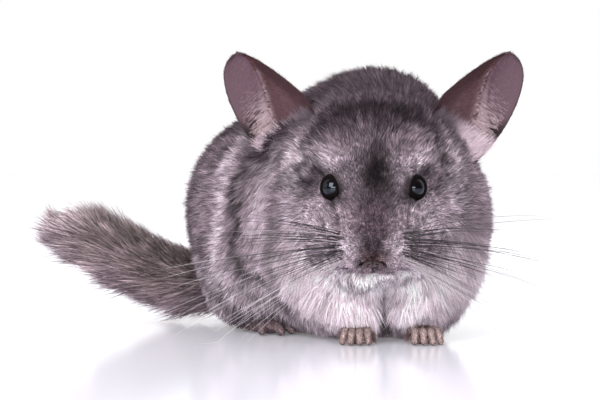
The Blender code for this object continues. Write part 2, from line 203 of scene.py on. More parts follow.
def finger(places, start, end, start_radius, end_radius):
    """Distance from a straight finger whose radius changes along it."""
    start, along = np.array(start), np.array(end) - np.array(start)
    share = np.clip(((places - start) @ along) / (along @ along), 0.0, 1.0)
    nearest = start + share[..., None] * along
    radius = start_radius + (end_radius - start_radius) * share
    return np.linalg.norm(places - nearest, axis=-1) - radius


def blended(distances, softness):
    """One distance for several masses that melt together: -k log(sum of exp(-d / k))."""
    total = sum(np.exp(-np.clip(d / softness, -40.0, 40.0)) for d in distances)
    return -softness * np.log(total)


def trunk_masses():
    """Ellipsoids of the trunk, neck, chest and haunches: centre, radii, turn."""
    yaw, level = (0.0, 0.0, BODY_YAW), (0.0, 0.0, 0.0)
    masses = [
        (from_hips(0, 4, 59.5), (66, 50, 55), yaw),
        (from_hips(5, -26, 60), (65.5, 50, 58.5), yaw),
        (from_hips(12, -62, 56), (55, 40, 50), yaw),
        ((2, 74, 92), (40, 27, 37.5), level),
        ((2, 54, 84), (40, 28, 30), level),
        (from_hips(0, 26, 42), (48, 34, 36), yaw),
        (from_hips(4, -36, 34), (50, 56, 30), yaw),
        ((5, 38, 38), (49, 27, 34), level),
        ((2, 13, 31), (23, 13, 10.5), level),
    ]
    for side in (-1, 1):
        masses.append((from_hips(side * 37, -10, 33), (26, 36, 27.5), yaw))
    for side in (-1, 1):
        masses.append(((5.5 + side * 17, 23, 23), (13.5, 15, 20), level))
    return masses


def head_masses():
    """Ellipsoids of the skull, face, muzzle, cheeks and brows: centre, radii, turn."""
    slope, level = (math.radians(-40.0), 0.0, 0.0), (0.0, 0.0, 0.0)
    masses = [
        ((0, 42, 86), (33, 26, 28), level),
        ((0, 13.5, 68), (13, 11.5, 33), slope),
        ((0, -1, 45), (15, 14, 11), level),
        ((0, 6, 36), (14, 14, 8), level),
    ]
    for side in (-1, 1):
        masses += [
            ((side * 10, -5.5, 44), (9, 10, 9), level),
            ((side * 17, 15, 50), (14, 19, 16.5), (0.0, 0.0, side * 0.4)),
            ((side * 26, 36, 66), (17, 20, 26), (0.0, 0.0, side * 0.3)),
            ((side * 11, 16, 82), (6, 7, 4), (0.0, 0.0, side * 0.7)),
        ]
    return masses


def smooth_line(controls, count):
    """A clamped cubic B-spline through the control points' influence, by Cox and de Boor."""
    controls = np.array(controls, float)
    n, degree = len(controls), 3
    inner = np.linspace(0, 1, n - degree + 1)
    knots = np.concatenate([[0] * degree, inner, [1] * degree])
    t = np.linspace(0, 1 - 1e-9, count)
    basis = ((t[:, None] >= knots[:-1]) & (t[:, None] < knots[1:])).astype(float)
    for d in range(1, degree + 1):
        left = knots[d:-1] - knots[: -d - 1]
        right = knots[d + 1 :] - knots[1:-d]
        a = (t[:, None] - knots[: -d - 1]) / np.where(left == 0, 1, left) * basis[:, :-1]
        b = (knots[d + 1 :] - t[:, None]) / np.where(right == 0, 1, right) * basis[:, 1:]
        basis = np.where(left == 0, 0, a) + np.where(right == 0, 0, b)
    return basis @ controls


TAIL = smooth_line(TAIL_LINE, 40)
TAIL_WAY = unit(np.gradient(TAIL[:, :3], axis=0))


def tail_distance(places, radii):
    """Distance from a chain of balls along the tail, one radius for each of its 40 stations."""
    nearest = np.full(places.shape[:-1], 1e3, np.float32)
    for station, radius in zip(TAIL[:, :3], radii):
        away = np.linalg.norm(places - station.astype(np.float32), axis=-1) - radius
        np.minimum(nearest, away, out=nearest)
    return nearest


def tail_flesh(places):
    """The tail under its hair: it tapers, and ends well inside the brush."""
    share = np.linspace(0, 1, len(TAIL))
    radii = TAIL_FLESH[0] + (TAIL_FLESH[1] - TAIL_FLESH[0]) * share
    radii = np.where(share < TAIL_FLESH_ENDS, radii, -50.0)
    return tail_distance(places, radii)


def eye_frame(side):
    """An eye's centre, and the three ways of its opening: out of the head, sideways and up."""
    centre = EYE * (side, 1, 1)
    out = unit(np.array((side * 0.47 + 0.09, -0.88, 0.05)))
    lean = math.radians(14.0)
    up = np.array((side * math.sin(lean), 0.0, math.cos(lean)))
    up = along_skin(up, out)
    return centre, out, np.cross(up, out) * side, up


# The wet eye shows in the inner lens between the lids, and fur starts at the outer lens.
GAZE_HALF_WIDTH, GAZE_HALF_HEIGHT = math.radians(33.0), math.radians(41.0)
LID_HALF_WIDTH, LID_HALF_HEIGHT = math.radians(42.0), math.radians(68.0)


def eye_opening(seen, side):
    """How far a place lies outside the outer lens of the lids: under 1 is inside it."""
    centre, out, across, up = eye_frame(side)
    away = seen - centre
    ahead = away @ out
    wide = np.arctan2(away @ across, ahead) / LID_HALF_WIDTH
    high = np.arctan2(away @ up, ahead) / LID_HALF_HEIGHT
    return np.sqrt(wide**2 + high**2), np.linalg.norm(away, axis=-1)


# The mouth: its middle, half width and how much its ends rise.
MOUTH_UP, MOUTH_HALF, MOUTH_RISE = 33.2, 13.0, 1.4


def from_mouth(seen):
    """Height of a place over the line of the lips, which rises with the square of x."""
    share = seen[..., 0] / MOUTH_HALF
    return seen[..., 2] - MOUTH_UP - MOUTH_RISE * share**2


def nostrils(seen):
    """Two slits beside the nose pad that slant out and down: 1 in the middle of each."""
    x, z = np.abs(seen[..., 0]) - 4.7, seen[..., 2] - 38.0
    along, over = 0.77 * x - 0.64 * z, 0.64 * x + 0.77 * z
    ahead = 1 - ramp(seen[..., 1], -10, -4)
    return np.exp(-((along / 1.8) ** 2) - (over / 0.7) ** 2) * ahead


def chin_share(seen):
    """Under the lips and along the throat, where white hair hangs down over the chest."""
    under = 1 - ramp(from_mouth(seen), -1.5, 0.0)
    return under * (1 - ramp(np.abs(seen[..., 0]), 22, 34))


def leg_gap(places):
    """The gap between the forelegs, which narrows upward to nothing: pressed in, and painted dark
    as its shade.
    """
    across = (places[..., 0] - 5.2) / (8.0 - 0.24 * np.clip(places[..., 2], 0, 30))
    front = 1 - ramp(places[..., 1], 34, 46)
    return np.exp(-(across**2)) * front * (1 - ramp(places[..., 2], 22, 32))


def creases(seen):
    """How deep the skin of the face is pressed in: mouth, cleft lip and tear lines."""
    ahead = 1 - ramp(seen[..., 1], -6, 4)
    across = np.abs(seen[..., 0])
    mouth = 1.2 * np.exp(-((from_mouth(seen) / 0.9) ** 2)) * (1 - ramp(across, 11, 15)) * ahead
    cleft = np.exp(-((seen[..., 0] / 0.7) ** 2)) * ahead
    cleft *= ramp(seen[..., 2], MOUTH_UP - 1, MOUTH_UP + 1) * (1 - ramp(seen[..., 2], 40, 42))
    lips = -0.7 * np.exp(-(((seen[..., 2] - 36.5) / 2.5) ** 2) - ((across - 6) / 5) ** 2) * ahead
    tear_x = 17.5 - (66 - seen[..., 2]) * 0.28
    tear = 0.7 * np.exp(-(((across - tear_x) / 1.1) ** 2))
    tear *= ramp(seen[..., 2], 50, 56) * (1 - ramp(seen[..., 2], 63, 66))
    return mouth + cleft + lips + tear + 1.6 * nostrils(seen)


def coat_depth(places, seen):
    """The coat's depth on the trunk and on the head, in millimetres.

    It is shallow near the floor and near the nose, and grows with height and with reach.
    """
    reach = np.linalg.norm(seen - NOSE.astype(np.float32), axis=-1)
    trunk = 2.2 + 5.8 * ramp(places[..., 2], 5, 32)
    head = 0.9 + 1.4 * ramp(reach, 5, 30) + 2.8 * ramp(reach, 30, 66)
    mirrored = np.abs(seen[..., :1])
    from_eye = np.sqrt(
        (mirrored[..., 0] - EYE[0]) ** 2
        + (seen[..., 1] - EYE[1]) ** 2
        + (seen[..., 2] - EYE[2]) ** 2
    )
    by_eye = 0.8 + 0.22 * np.maximum(0.0, from_eye - EYE_RADIUS)
    return trunk, np.minimum(head, by_eye)


def outer_fields(places):
    """Distances from the tips of the coat: of the trunk, and of the head."""
    seen = in_head(places).astype(np.float32)
    trunk = blended([ellipsoid(places, *mass) for mass in trunk_masses()], 5.0)
    head = blended([ellipsoid(seen, *mass) for mass in head_masses()], 4.0)
    return trunk, head, seen


def skin_field(places):
    """Distance from the skin: each mass drawn in by the coat's depth, then eyes and creases.

    The lids are balls a little larger than the eyes, opened by a cone along the gaze.
    """
    places = places.astype(np.float32)
    trunk, head, seen = outer_fields(places)
    trunk_depth, head_depth = coat_depth(places, seen)
    head = head + head_depth + creases(seen)
    for side in SIDES.values():
        opening, reach = eye_opening(seen, side)
        head = blended([head, reach - EYE_RADIUS - 0.3], 0.7)
        head = np.maximum(head, (0.9 - opening) * EYE_RADIUS)
    body = blended([trunk + trunk_depth + 9 * leg_gap(places), head], 3.0)
    body = blended([body, tail_flesh(places)], 2.5)
    return np.maximum(body, 1.2 - places[..., 2])


# The skin's grid: its two steps in mm, and where it starts, turns fine, turns coarse and ends.
COARSE, FINE = 1.8, 0.75
SKIN_GRID = ((-172, -27, 27, 80), (-34, -26, 26, 182), (-3, 26, 88, 132))


def uneven_steps(low, fine_low, fine_high, high):
    """Grid lines from low to high, closer between two inner places."""
    spans = ((low, fine_low, COARSE), (fine_low, fine_high, FINE), (fine_high, high, COARSE))
    lines = [np.linspace(a, b, max(2, round((b - a) / step))) for a, b, step in spans]
    return np.concatenate([lines[0][:-1], lines[1], lines[2][1:]])


def surface(field, axes):
    """A closed mesh where a field is nought, one vertex in each grid cell that it crosses.

    Each edge of the grid whose ends lie on both sides gives one quad between the four cells
    around it, and a cell's vertex is the mean of the crossings on its edges.
    """
    shape = tuple(len(axis) for axis in axes)
    values = np.empty(shape, np.float32)
    for start in range(0, shape[0], 16):
        slab = np.meshgrid(axes[0][start : start + 16], axes[1], axes[2], indexing="ij")
        values[start : start + 16] = field(np.stack(slab, axis=-1))
    ids, crossings, quads = [], [], []
    for axis in range(3):
        near, far = [slice(None)] * 3, [slice(None)] * 3
        near[axis], far[axis] = slice(0, -1), slice(1, None)
        first, second = values[tuple(near)], values[tuple(far)]
        corner = np.argwhere((first < 0) != (second < 0))
        before, after = first[tuple(corner.T)], second[tuple(corner.T)]
        crossing = np.stack([axes[k][corner[:, k]] for k in range(3)], axis=1)
        step = axes[axis][corner[:, axis] + 1] - axes[axis][corner[:, axis]]
        crossing[:, axis] += step * before / (before - after)
        others = [(axis + 1) % 3, (axis + 2) % 3]
        faces = []
        for back in ((1, 1), (0, 1), (0, 0), (1, 0)):
            cell = corner.copy()
            cell[:, others[0]] -= back[0]
            cell[:, others[1]] -= back[1]
            faces.append(np.ravel_multi_index(tuple(cell.T), shape))
        faces = np.stack(faces, axis=1)
        inward = before >= 0
        faces[inward] = faces[inward][:, ::-1]
        quads.append(faces)
        ids.append(faces.ravel())
        crossings.append(np.repeat(crossing, 4, axis=0))
    used, numbered = np.unique(np.concatenate(ids), return_inverse=True)
    crossings = np.concatenate(crossings)
    count = np.bincount(numbered)
    places = [np.bincount(numbered, weights=crossings[:, k]) / count for k in range(3)]
    return np.stack(places, axis=1), np.searchsorted(used, np.concatenate(quads))


def corner_normals(places, faces):
    """Unit normals at the corners: the sum of the crossed diagonals of the quads around each."""
    first, second, third, fourth = (places[faces[:, k]] for k in range(4))
    crossed = np.cross(third - first, fourth - second)
    total = np.zeros_like(places)
    for k in range(4):
        for axis in range(3):
            total[:, axis] += np.bincount(faces[:, k], crossed[:, axis], len(places))
    return unit(total)


def added(name, data):
    """A new object of this data, linked to the scene."""
    obj = bpy.data.objects.new(name, data)
    bpy.context.scene.collection.objects.link(obj)
    return obj


def paint(mesh, name, colours):
    """Gives the mesh one colour for each corner, as the attribute of that name."""
    layer = mesh.color_attributes.new(name, "FLOAT_COLOR", "POINT")
    rgba = np.ones((len(colours), 4), np.float32)
    rgba[:, :3] = colours
    layer.data.foreach_set("color", rgba.ravel())


def piece(name, places, faces, material, slot, colours=None, patches=None):
    """A mesh object from places in millimetres and arrays of faces, riding on the body.

    patches are OFBake coordinates, one for each corner of each face.
    """
    mesh = bpy.data.meshes.new(name)
    world = (places.reshape(-1, 3) * MM + ORIGIN).astype(np.float32)
    corners = np.concatenate([group.ravel() for group in faces]).astype(np.int32)
    sizes = np.concatenate([np.full(len(group), group.shape[1]) for group in faces])
    starts = np.concatenate([[0], np.cumsum(sizes)[:-1]]).astype(np.int32)
    mesh.vertices.add(len(world))
    mesh.vertices.foreach_set("co", world.ravel())
    mesh.loops.add(len(corners))
    mesh.loops.foreach_set("vertex_index", corners)
    mesh.polygons.add(len(sizes))
    mesh.polygons.foreach_set("loop_start", starts)
    mesh.update(calc_edges=True)
    mesh.shade_smooth()
    if colours is not None:
        paint(mesh, "coat_colour", colours)
    if patches is not None:
        layer = mesh.uv_layers.new(name="OFBake")
        layer.uv.foreach_set("vector", patches.astype(np.float32).ravel())
    mesh.materials.append(material)
    obj = added(name, mesh)
    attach(obj, "root")
    return obj


def unwrap(obj):
    """Lays the piece's own surface flat in islands, as its OFBake map."""
    obj.data.uv_layers.new(name="OFBake")
    bpy.ops.object.select_all(action="DESELECT")
    bpy.context.view_layer.objects.active = obj
    obj.select_set(True)
    bpy.ops.object.mode_set(mode="EDIT")
    bpy.ops.mesh.select_all(action="SELECT")
    bpy.ops.uv.smart_project(angle_limit=math.radians(66), island_margin=0.003)
    bpy.ops.object.mode_set(mode="OBJECT")
    obj.select_set(False)


def node(tree, kind, settings=None, **links):
    """Adds a node, sets its properties and input values, and links its inputs to outputs."""
    made = tree.nodes.new(kind)
    for key, value in (settings or {}).items():
        if isinstance(key, int) or key in made.inputs:
            made.inputs[key].default_value = value
        else:
            setattr(made, key, value)
    for key, source in links.items():
        tree.links.new(source, made.inputs[key.replace("_", " ")])
    return made


def principled(name, settings):
    """A material with its shader's constant sockets set, and the shader."""
    material = bpy.data.materials.new(name)
    material.use_nodes = True
    shader = material.node_tree.nodes["Principled BSDF"]
    for key, value in settings.items():
        shader.inputs[key].default_value = value
    return material, material.node_tree, shader


def painted(name, roughness, specular, grain_mm, grain_share, bump_mm=0.0, more=None):
    """A finish that takes its colour from the pieces' own paint, mottled by fine noise.

    The noise repeats every grain_mm, changes the colour by grain_share, and may press the
    surface by bump_mm. more holds other sockets of the shader.
    """
    settings = {"Roughness": roughness, "Specular IOR Level": specular, **(more or {})}
    material, tree, shader = principled(name, settings)
    colour = node(tree, "ShaderNodeAttribute", {"attribute_name": "coat_colour"})
    place = node(tree, "ShaderNodeTexCoord")
    noise = {"Scale": 1.0 / (grain_mm * MM), "Detail": 2.0}
    grain = node(tree, "ShaderNodeTexNoise", noise, Vector=place.outputs["Object"]).outputs["Fac"]
    span = {"To Min": 1.0 - grain_share, "To Max": 1.0 + grain_share}
    share = node(tree, "ShaderNodeMapRange", span, Value=grain).outputs["Result"]
    mottled = node(tree, "ShaderNodeVectorMath", {"operation": "SCALE"},
                   Vector=colour.outputs["Color"], Scale=share)
    tree.links.new(mottled.outputs["Vector"], shader.inputs["Base Color"])
    if bump_mm:
        press = {"Strength": 1.0, "Distance": bump_mm * MM}
        bump = node(tree, "ShaderNodeBump", press, Height=grain)
        tree.links.new(bump.outputs["Normal"], shader.inputs["Normal"])
    return material


# Fur is dense matt wool, lit softly at its edges by a little sheen.
coat_fur = painted("chinchilla_fur", 0.75, 0.1, 1.4, 0.12,
                   more={"Sheen Weight": 0.03, "Sheen Roughness": 0.5})
# The skin under the fur is dull and rough, so gaps in the coat look like more fur.
skin_fur = painted("furred_skin", 0.85, 0.1, 0.7, 0.3, 0.5)
# Bare ear skin has a faint soft shine, and paw skin a slightly grainy one.
ear_leather = painted("ear_skin", 0.7, 0.25, 0.6, 0.14, 0.03)
paw_leather = painted("paw_skin", 0.65, 0.3, 0.4, 0.2, 0.1)
# The nose is damp, with small broken lights. The lids stay dull beside the wet eye.
nose_leather = painted("nose_skin", 0.45, 0.4, 0.35, 0.25, 0.1)
lid_skin = painted("eyelid_skin", 0.6, 0.06, 0.4, 0.2, 0.05)
# Whiskers and claws are smooth horn that catches thin lights along its length.
whisker_horn = painted("whisker_keratin", 0.35, 0.5, 3.0, 0.1)
claw_horn = painted("claw_keratin", 0.3, 0.5, 0.8, 0.15)
# A wet cornea over an almost black iris mirrors the lamps sharply, a little blue.
eye_gloss = painted("wet_eye", 0.02, 0.55, 0.9, 0.35,
                    more={"Specular Tint": (0.72, 0.85, 1.0, 1.0)})


def spot(across, up, place, size, power=2):
    """A soft oval in the head's front view: exp(-|dx / w|^p - |dz / h|^p)."""
    wide = np.abs((across - place[0]) / size[0]) ** power
    high = np.abs((up - place[1]) / size[1]) ** power
    return np.exp(-wide - high)


def stroke(across, up, start, end, width):
    """A soft line in a front view: exp(-(distance from the line / width) ^ 2)."""
    places = np.stack([across, up, np.zeros_like(up)], axis=-1)
    away = finger(places, (*start, 0.0), (*end, 0.0), 0.0, 0.0)
    return np.exp(-((away / width) ** 2))


# Soft rings round the trunk, where the thick coat parts: place along from the hips, half
# width, shade and strength.
BANDS = [
    (46, 15, "dark", 0.25),
    (21, 5, "light", 0.3),
    (4, 6.5, "dark", 0.6),
    (-12, 4, "dark", 0.3),
    (-26, 6.5, "light", 1.0),
    (-40.5, 2.8, "dark", 0.9),
    (-52, 5, "light", 0.8),
    (-66, 3.2, "dark", 0.7),
    (-79, 5, "light", 0.4),
    (-92, 5, "dark", 0.6),
]


def trunk_markings(places):
    """Silver flanks with soft dark partings, a darker back, white underneath and in front, and
    painted shade in creases, low over the hind feet and between the forelegs.
    """
    across, along, up = in_body(places)
    cloudy, fine = waves(places, 26, 5), waves(places, 7, 6)
    colours = np.tile(COAT_GREY, (len(places), 1))
    sides = ramp(np.abs(across), 14, 36)
    ring = along + 0.06 * (up - 55) + 2.0 * cloudy + 1.1 * fine
    for place, width, shade, strength in BANDS:
        tone = COAT_SABLE if shade == "dark" else COAT_SILVER
        share = strength * np.exp(-(((ring - place) / width) ** 2)) * (0.35 + 0.65 * sides)
        share *= 1 - 0.5 * ramp(across, 0, 24)
        colours = mixed(colours, tone, share)
    back = ramp(up + 4 * cloudy + 3 * fine, 62, 98) * (1 - 0.5 * ramp(along, 0, 36))
    colours = mixed(colours, mixed(COAT_SMOKE, COAT_SLATE, 0.4), 0.82 * back)
    low = 1 - ramp(up + 3 * cloudy, 14, 40)
    colours = mixed(colours, COAT_SILVER, 0.45 * low * (1 - ramp(along, -20, 30)))
    # Painted shade: a dark crease line where the haunch meets the belly.
    fold = np.exp(-(((up - 12 - 0.42 * np.abs(along + 34) + 1.5 * fine) / 3.5) ** 2))
    colours = mixed(colours, COAT_SLATE, 0.55 * fold * ramp(along, -70, -45))
    # Painted shade: the coat low over the hind feet darkens toward the floor.
    foot = (1 - ramp(up, 6, 16)) * ramp(along, -50, -38)
    colours = mixed(colours, COAT_SMOKE, 0.8 * foot)
    # On the right flank the haunch folds: painted shade in two creases that slant forward and down
    # to the belly, and a painted shadow over the hind foot.
    x, right = places[:, 0] + 1.5 * fine, 1 - ramp(across, -10, 5)
    flank_shade = stroke(x, up, (-77, 44), (-64, 13), 2.6)
    flank_shade = flank_shade + stroke(x, up, (-49, 32), (-27, 11), 2.6) + spot(x, up, (-57, 9), (9, 6), 4)
    colours = mixed(colours, COAT_SLATE, 0.7 * np.clip(flank_shade, 0, 1) * right)
    ahead = 1 - ramp(places[:, 1] + 2.5 * fine + 2 * cloudy, 8, 44)
    front = ahead * (1 - ramp(up + 2.5 * fine, 38, 60))
    legs = mixed(COAT_SILVER, COAT_WHITE, ramp(up, 8, 28))
    colours = mixed(colours, legs, front)
    # Painted shade in the gap between the forelegs.
    return mixed(colours, COAT_SLATE, 0.9 * ramp(leg_gap(places), 0.25, 0.55))


def head_markings(seen, places):
    """Dark crown, arc and nose streak, light brows, cheeks, muzzle and chin, with painted shade in
    the tear creases, the cleft and the nostrils.
    """
    x, z = np.abs(seen[:, 0]), seen[:, 2]
    cloudy, fine = waves(places, 22, 15), waves(places, 6, 16)
    colours = np.tile(mixed(COAT_GREY, COAT_SMOKE, 0.30), (len(places), 1))
    crown = ramp(z + 3 * cloudy + 0.35 * (seen[:, 1] - 25), 88, 100)
    colours = mixed(colours, COAT_SMOKE, 0.75 * crown * (1 - 0.55 * ramp(x, 18, 26)))
    arc = np.exp(-(((z + 1.2 * fine - 103.5 + 23 * (x / 30.5) ** 3.4) / 4.5) ** 2))
    colours = mixed(colours, COAT_SABLE, 0.78 * arc)
    blaze = spot(seen[:, 0] + 0.8 * fine, z, (1.5, 75), (8.3, 17), 2.6)
    colours = mixed(colours, COAT_SABLE, 0.97 * blaze)
    # Nose bridge, its tip, brow, eye rim, nape, ear's foot, eye's corner, below and behind the
    # eye, cheek, side, muzzle and lip: colour, strength, middle, half sizes, power, how far the
    # noise moves it across and up, and its leans.
    behind = 0.95 - 0.4 * (seen[:, 0] > 0)
    for tone, strength, place, size, power, drift, lean in (
        (COAT_SMOKE, 0.97, (0, 54), (9.0, 13), 2.6, (0.8, 0), (0, 0)),
        (COAT_SMOKE, 0.6, (0, 46), (6.0, 5.0), 2, (0, 0), (0, 0)),
        (COAT_SILVER, 0.42, (18.5, 82.5), (8.0, 5.0), 2.4, (1, 0.7), (0, 0.25)),
        (COAT_SABLE, 0.85, (18.3, 70.8), (5.0, 8.6), 4, (0, 0), (0.3, 0)),
        (COAT_SILVER, 0.8, (30.5, 106), (3.0, 12), 3, (1, 0), (0, 0)),
        (COAT_WHITE, 0.75, (38.5, 87), (6.5, 9), 3, (1.5, 2), (0, 0)),
        (COAT_SABLE, 0.7, (23.8, 77.0), (4.0, 2.4), 2, (0, 0), (0, 0.6)),
        (COAT_SLATE, 0.75, (17.4, 63.6), (4.0, 1.8), 2, (0, 0), (0, 0)),
        (COAT_SABLE, behind, (32.0, 72.0), (8.0, 6.0), 2, (0, 1.2), (0, 0)),
        (COAT_SILVER, 0.45, (25.5, 54), (9.5, 10.5), 2.6, (1.5, 1), (0, 0)),
        (COAT_SILVER, 0.5, (34.5, 66), (3.5, 10.5), 2, (0, 0), (0, 0)),
        (COAT_SILVER, 0.5, (12.0, 42.5), (6.0, 7.5), 3, (0.6, 0), (0, 0)),
        (COAT_GREY, 0.55, (6.0, 36), (7.0, 2.2), 3, (0, 0), (0, 0)),
    ):
        wide = x + drift[0] * fine - lean[0] * (z - 71)
        high = z + drift[1] * fine - lean[1] * (x - 23)
        colours = mixed(colours, tone, strength * spot(wide, high, place, size, power))
    # Painted shade along the tear crease below the eye's inner corner.
    tear = np.exp(-(((x - 17.5 + (66 - z) * 0.22) / 0.9) ** 2)) * ramp(z, 46, 52)
    colours = mixed(colours, COAT_SLATE, 0.6 * tear * (1 - ramp(z, 63, 65)))
    chin = 1 - ramp(from_mouth(seen) + 0.35 * fine, -0.5, 0.5)
    colours = mixed(colours, COAT_WHITE, 0.85 * chin * (1 - ramp(x, 26, 36)))
    jaw = (1 - ramp(z + 2 * fine, 33, 45)) * ramp(x, 13, 18)
    colours = mixed(colours, COAT_WHITE, 0.75 * jaw)
    wing = spot(x, z, (0.0, 39.5), (7.2, 4.6), 3)
    colours = mixed(colours, NOSE_BROWN, 0.85 * wing * (1 - chin))
    vee = np.exp(-(((x - 0.35 * np.maximum(0.0, z - 40)) / 1.1) ** 2)) * ramp(z, 37, 39)
    colours = mixed(colours, COAT_SABLE, 0.6 * vee * (1 - ramp(z, 44, 52)))
    # Painted shade in the cleft of the lip under the nose pad.
    cleft = spot(x, z, (0.0, 37.5), (0.6, 5.0), 4)
    colours = mixed(colours, COAT_SABLE, 0.8 * cleft * (1 - chin))
    # The nostril slits are painted near black as the shade in their openings.
    return mixed(colours, COAT_SABLE, 0.95 * ramp(nostrils(seen), 0.08, 0.4))


def tail_markings(places, normals, tail_place):
    """A brown-grey brush, darker along its core, greyer underneath and lighter at the end."""
    colours = np.tile(TAIL_BROWN, (len(places), 1))
    colours = mixed(colours, COAT_SLATE, 0.4 * np.exp(-(((normals[:, 2] - 0.1) / 0.45) ** 2)))
    colours = mixed(colours, COAT_GREY, 0.6 * ramp(-normals[:, 2], 0.0, 0.8))
    return mixed(colours, COAT_SILVER, 0.2 * ramp(tail_place, 0.6, 0.85))


def markings(places, seen, normals, head_share, tail_share, tail_place):
    """The coat's colour at each place: trunk, head and tail, each by how much it belongs."""
    on_head = ramp(head_share, 0.1, 0.6)
    colours = mixed(trunk_markings(places), head_markings(seen, places), on_head)
    colours = mixed(colours, tail_markings(places, normals, tail_place), tail_share)
    mottle = 1 + 0.16 * waves(places, 5, 6) + 0.15 * waves(places, 2.6, 7)
    return np.clip(colours * np.clip(mottle, 0.5, 1.6)[:, None], 0.004, 0.92)


def lie_of_coat(places, seen, normals, head_share, tail_share, tail_way):
    """Which way the tips point: back from the nose, back and down the trunk, along the tail.

    The ways are added by how much each place belongs to each part, then laid on the skin.
    """
    from_nose = from_head(seen + unit(seen - NOSE)) - from_head(seen)
    from_nose = unit(from_nose + (0.0, 0.15, -0.1))
    rearward = np.array((-math.sin(BODY_YAW), math.cos(BODY_YAW), 0.0))
    front = ramp(-normals[:, 1], 0.3, 0.9) * (1 - ramp(places[:, 1], 40, 80))
    low = 1 - ramp(places[:, 2], 20, 60)
    skirt = 1 - ramp(places[:, 2], 10, 26)
    down = np.array((0.0, 0.0, -1.0)) * (0.12 + 0.7 * low + 1.5 * front + 2 * skirt)[:, None]
    on_trunk = unit(rearward * (1 - 0.8 * front)[:, None] + down)
    way = mixed(on_trunk, from_nose, head_share)
    way = mixed(way, tail_way, tail_share)
    for side in SIDES.values():
        centre = EYE * (side, 1, 1)
        away = seen - centre
        near = np.exp(-((np.maximum(0, np.linalg.norm(away, axis=1) - EYE_RADIUS) / 1.8) ** 2))
        way = way + unit(away) * (1.1 * near * head_share)[:, None]
    way = mixed(way, np.array((0.0, -0.15, -1.0)), 0.9 * chin_share(seen) * head_share)
    way = along_skin(way, normals)
    swirl = 0.10 * waves(places, 18, 8) + 0.10 * waves(places, 5, 9)
    return unit(way + np.cross(normals, way) * swirl[:, None])


def halved(obj, places, faces):
    """A piece's quads as triangles, with their areas and their corners on its OFBake map."""
    flat = np.empty(len(obj.data.loops) * 2, np.float32)
    obj.data.uv_layers["OFBake"].uv.foreach_get("vector", flat)
    flat = flat.reshape(-1, 4, 2)
    halves = ([0, 1, 2], [0, 2, 3])
    triangles = np.concatenate([faces[:, half] for half in halves])
    a, b, c = (places[triangles[:, k]] for k in range(3))
    return {
        "triangles": triangles,
        "patches": np.concatenate([flat[:, half] for half in halves]),
        "areas": np.linalg.norm(np.cross(b - a, c - a), axis=1) / 2,
    }


def make_skin():
    """The one skin of head, neck, trunk, legs and tail, and all that its coat needs there."""
    places, faces = surface(skin_field, [uneven_steps(*places) for places in SKIN_GRID])
    normals = corner_normals(places, faces)
    trunk, head, seen = outer_fields(places.astype(np.float32))
    head_share = 1 / (1 + np.exp(np.clip((head - trunk) / 3.0, -30, 30)))
    brush = tail_distance(places, TAIL[:, 3])
    flesh = tail_flesh(places)
    tail_share = 1 - ramp(flesh, 0.4, 3.0)
    gaps = np.linalg.norm(places[:, None] - TAIL[None, :, :3], axis=2)
    station = gaps.argmin(axis=1)
    tail_place = station / (len(TAIL) - 1)
    thickness = -np.minimum(blended([trunk, head], 4.0), brush)
    skin = {
        "places": places,
        "faces": faces,
        "normals": normals,
        "seen": seen.astype(float),
        "head": head_share,
        "tail": tail_share,
        "tail_place": tail_place,
        "thickness": np.clip(thickness, 0.5, 24.0),
        "colours": markings(places, seen, normals, head_share, tail_share, tail_place),
        "way": lie_of_coat(places, seen, normals, head_share, tail_share, TAIL_WAY[station]),
    }
    obj = piece("skin", places, [faces], skin_fur, "fur", skin["colours"] * SKIN_SHADE)
    unwrap(obj)
    flesh_nodes = ["head", "neck", "trunk", "foreleg_left", "foreleg_right"]
    flesh_nodes += ["hindleg_left", "hindleg_right", "tail_base", "tail_middle", "tail_tip"]
    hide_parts(*flesh_nodes)
    return skin | halved(obj, places, faces)


def roots_on(skin, density, count, rng):
    """Random roots: triangles drawn by area and density, with even places inside each.

    Gives a function that carries any value of the corners to the roots, and the roots' patches.
    """
    triangles = skin["triangles"]
    weight = skin["areas"] * density[triangles].mean(axis=1)
    ladder = np.cumsum(weight)
    drawn = np.searchsorted(ladder, rng.random(count) * ladder[-1])
    first, second = np.sqrt(rng.random(count)), rng.random(count)
    shares = np.stack([1 - first, first * (1 - second), first * second], axis=1)
    chosen = triangles[drawn]

    def carry(values):
        picked = values[chosen]
        if picked.ndim == 2:
            return (picked * shares).sum(axis=1)
        return (picked * shares[..., None]).sum(axis=1)

    return carry, (skin["patches"][drawn] * shares[..., None]).sum(axis=1)


# A tuft's patch on the OFBake map, in shares of the map. In mm: how deep a tuft's root is set
# and how far hair stays off the floor. In radians: a tuft's bend at its root and its tip, as
# shares of its lift. Last, the skin's shade under the coat.
PATCH, ROOT_DEPTH, FLOOR_GAP = 0.003, 0.25, 0.15
BEND_AT_ROOT, BEND_AT_TIP = 1.45, 0.55
SKIN_SHADE = 0.55


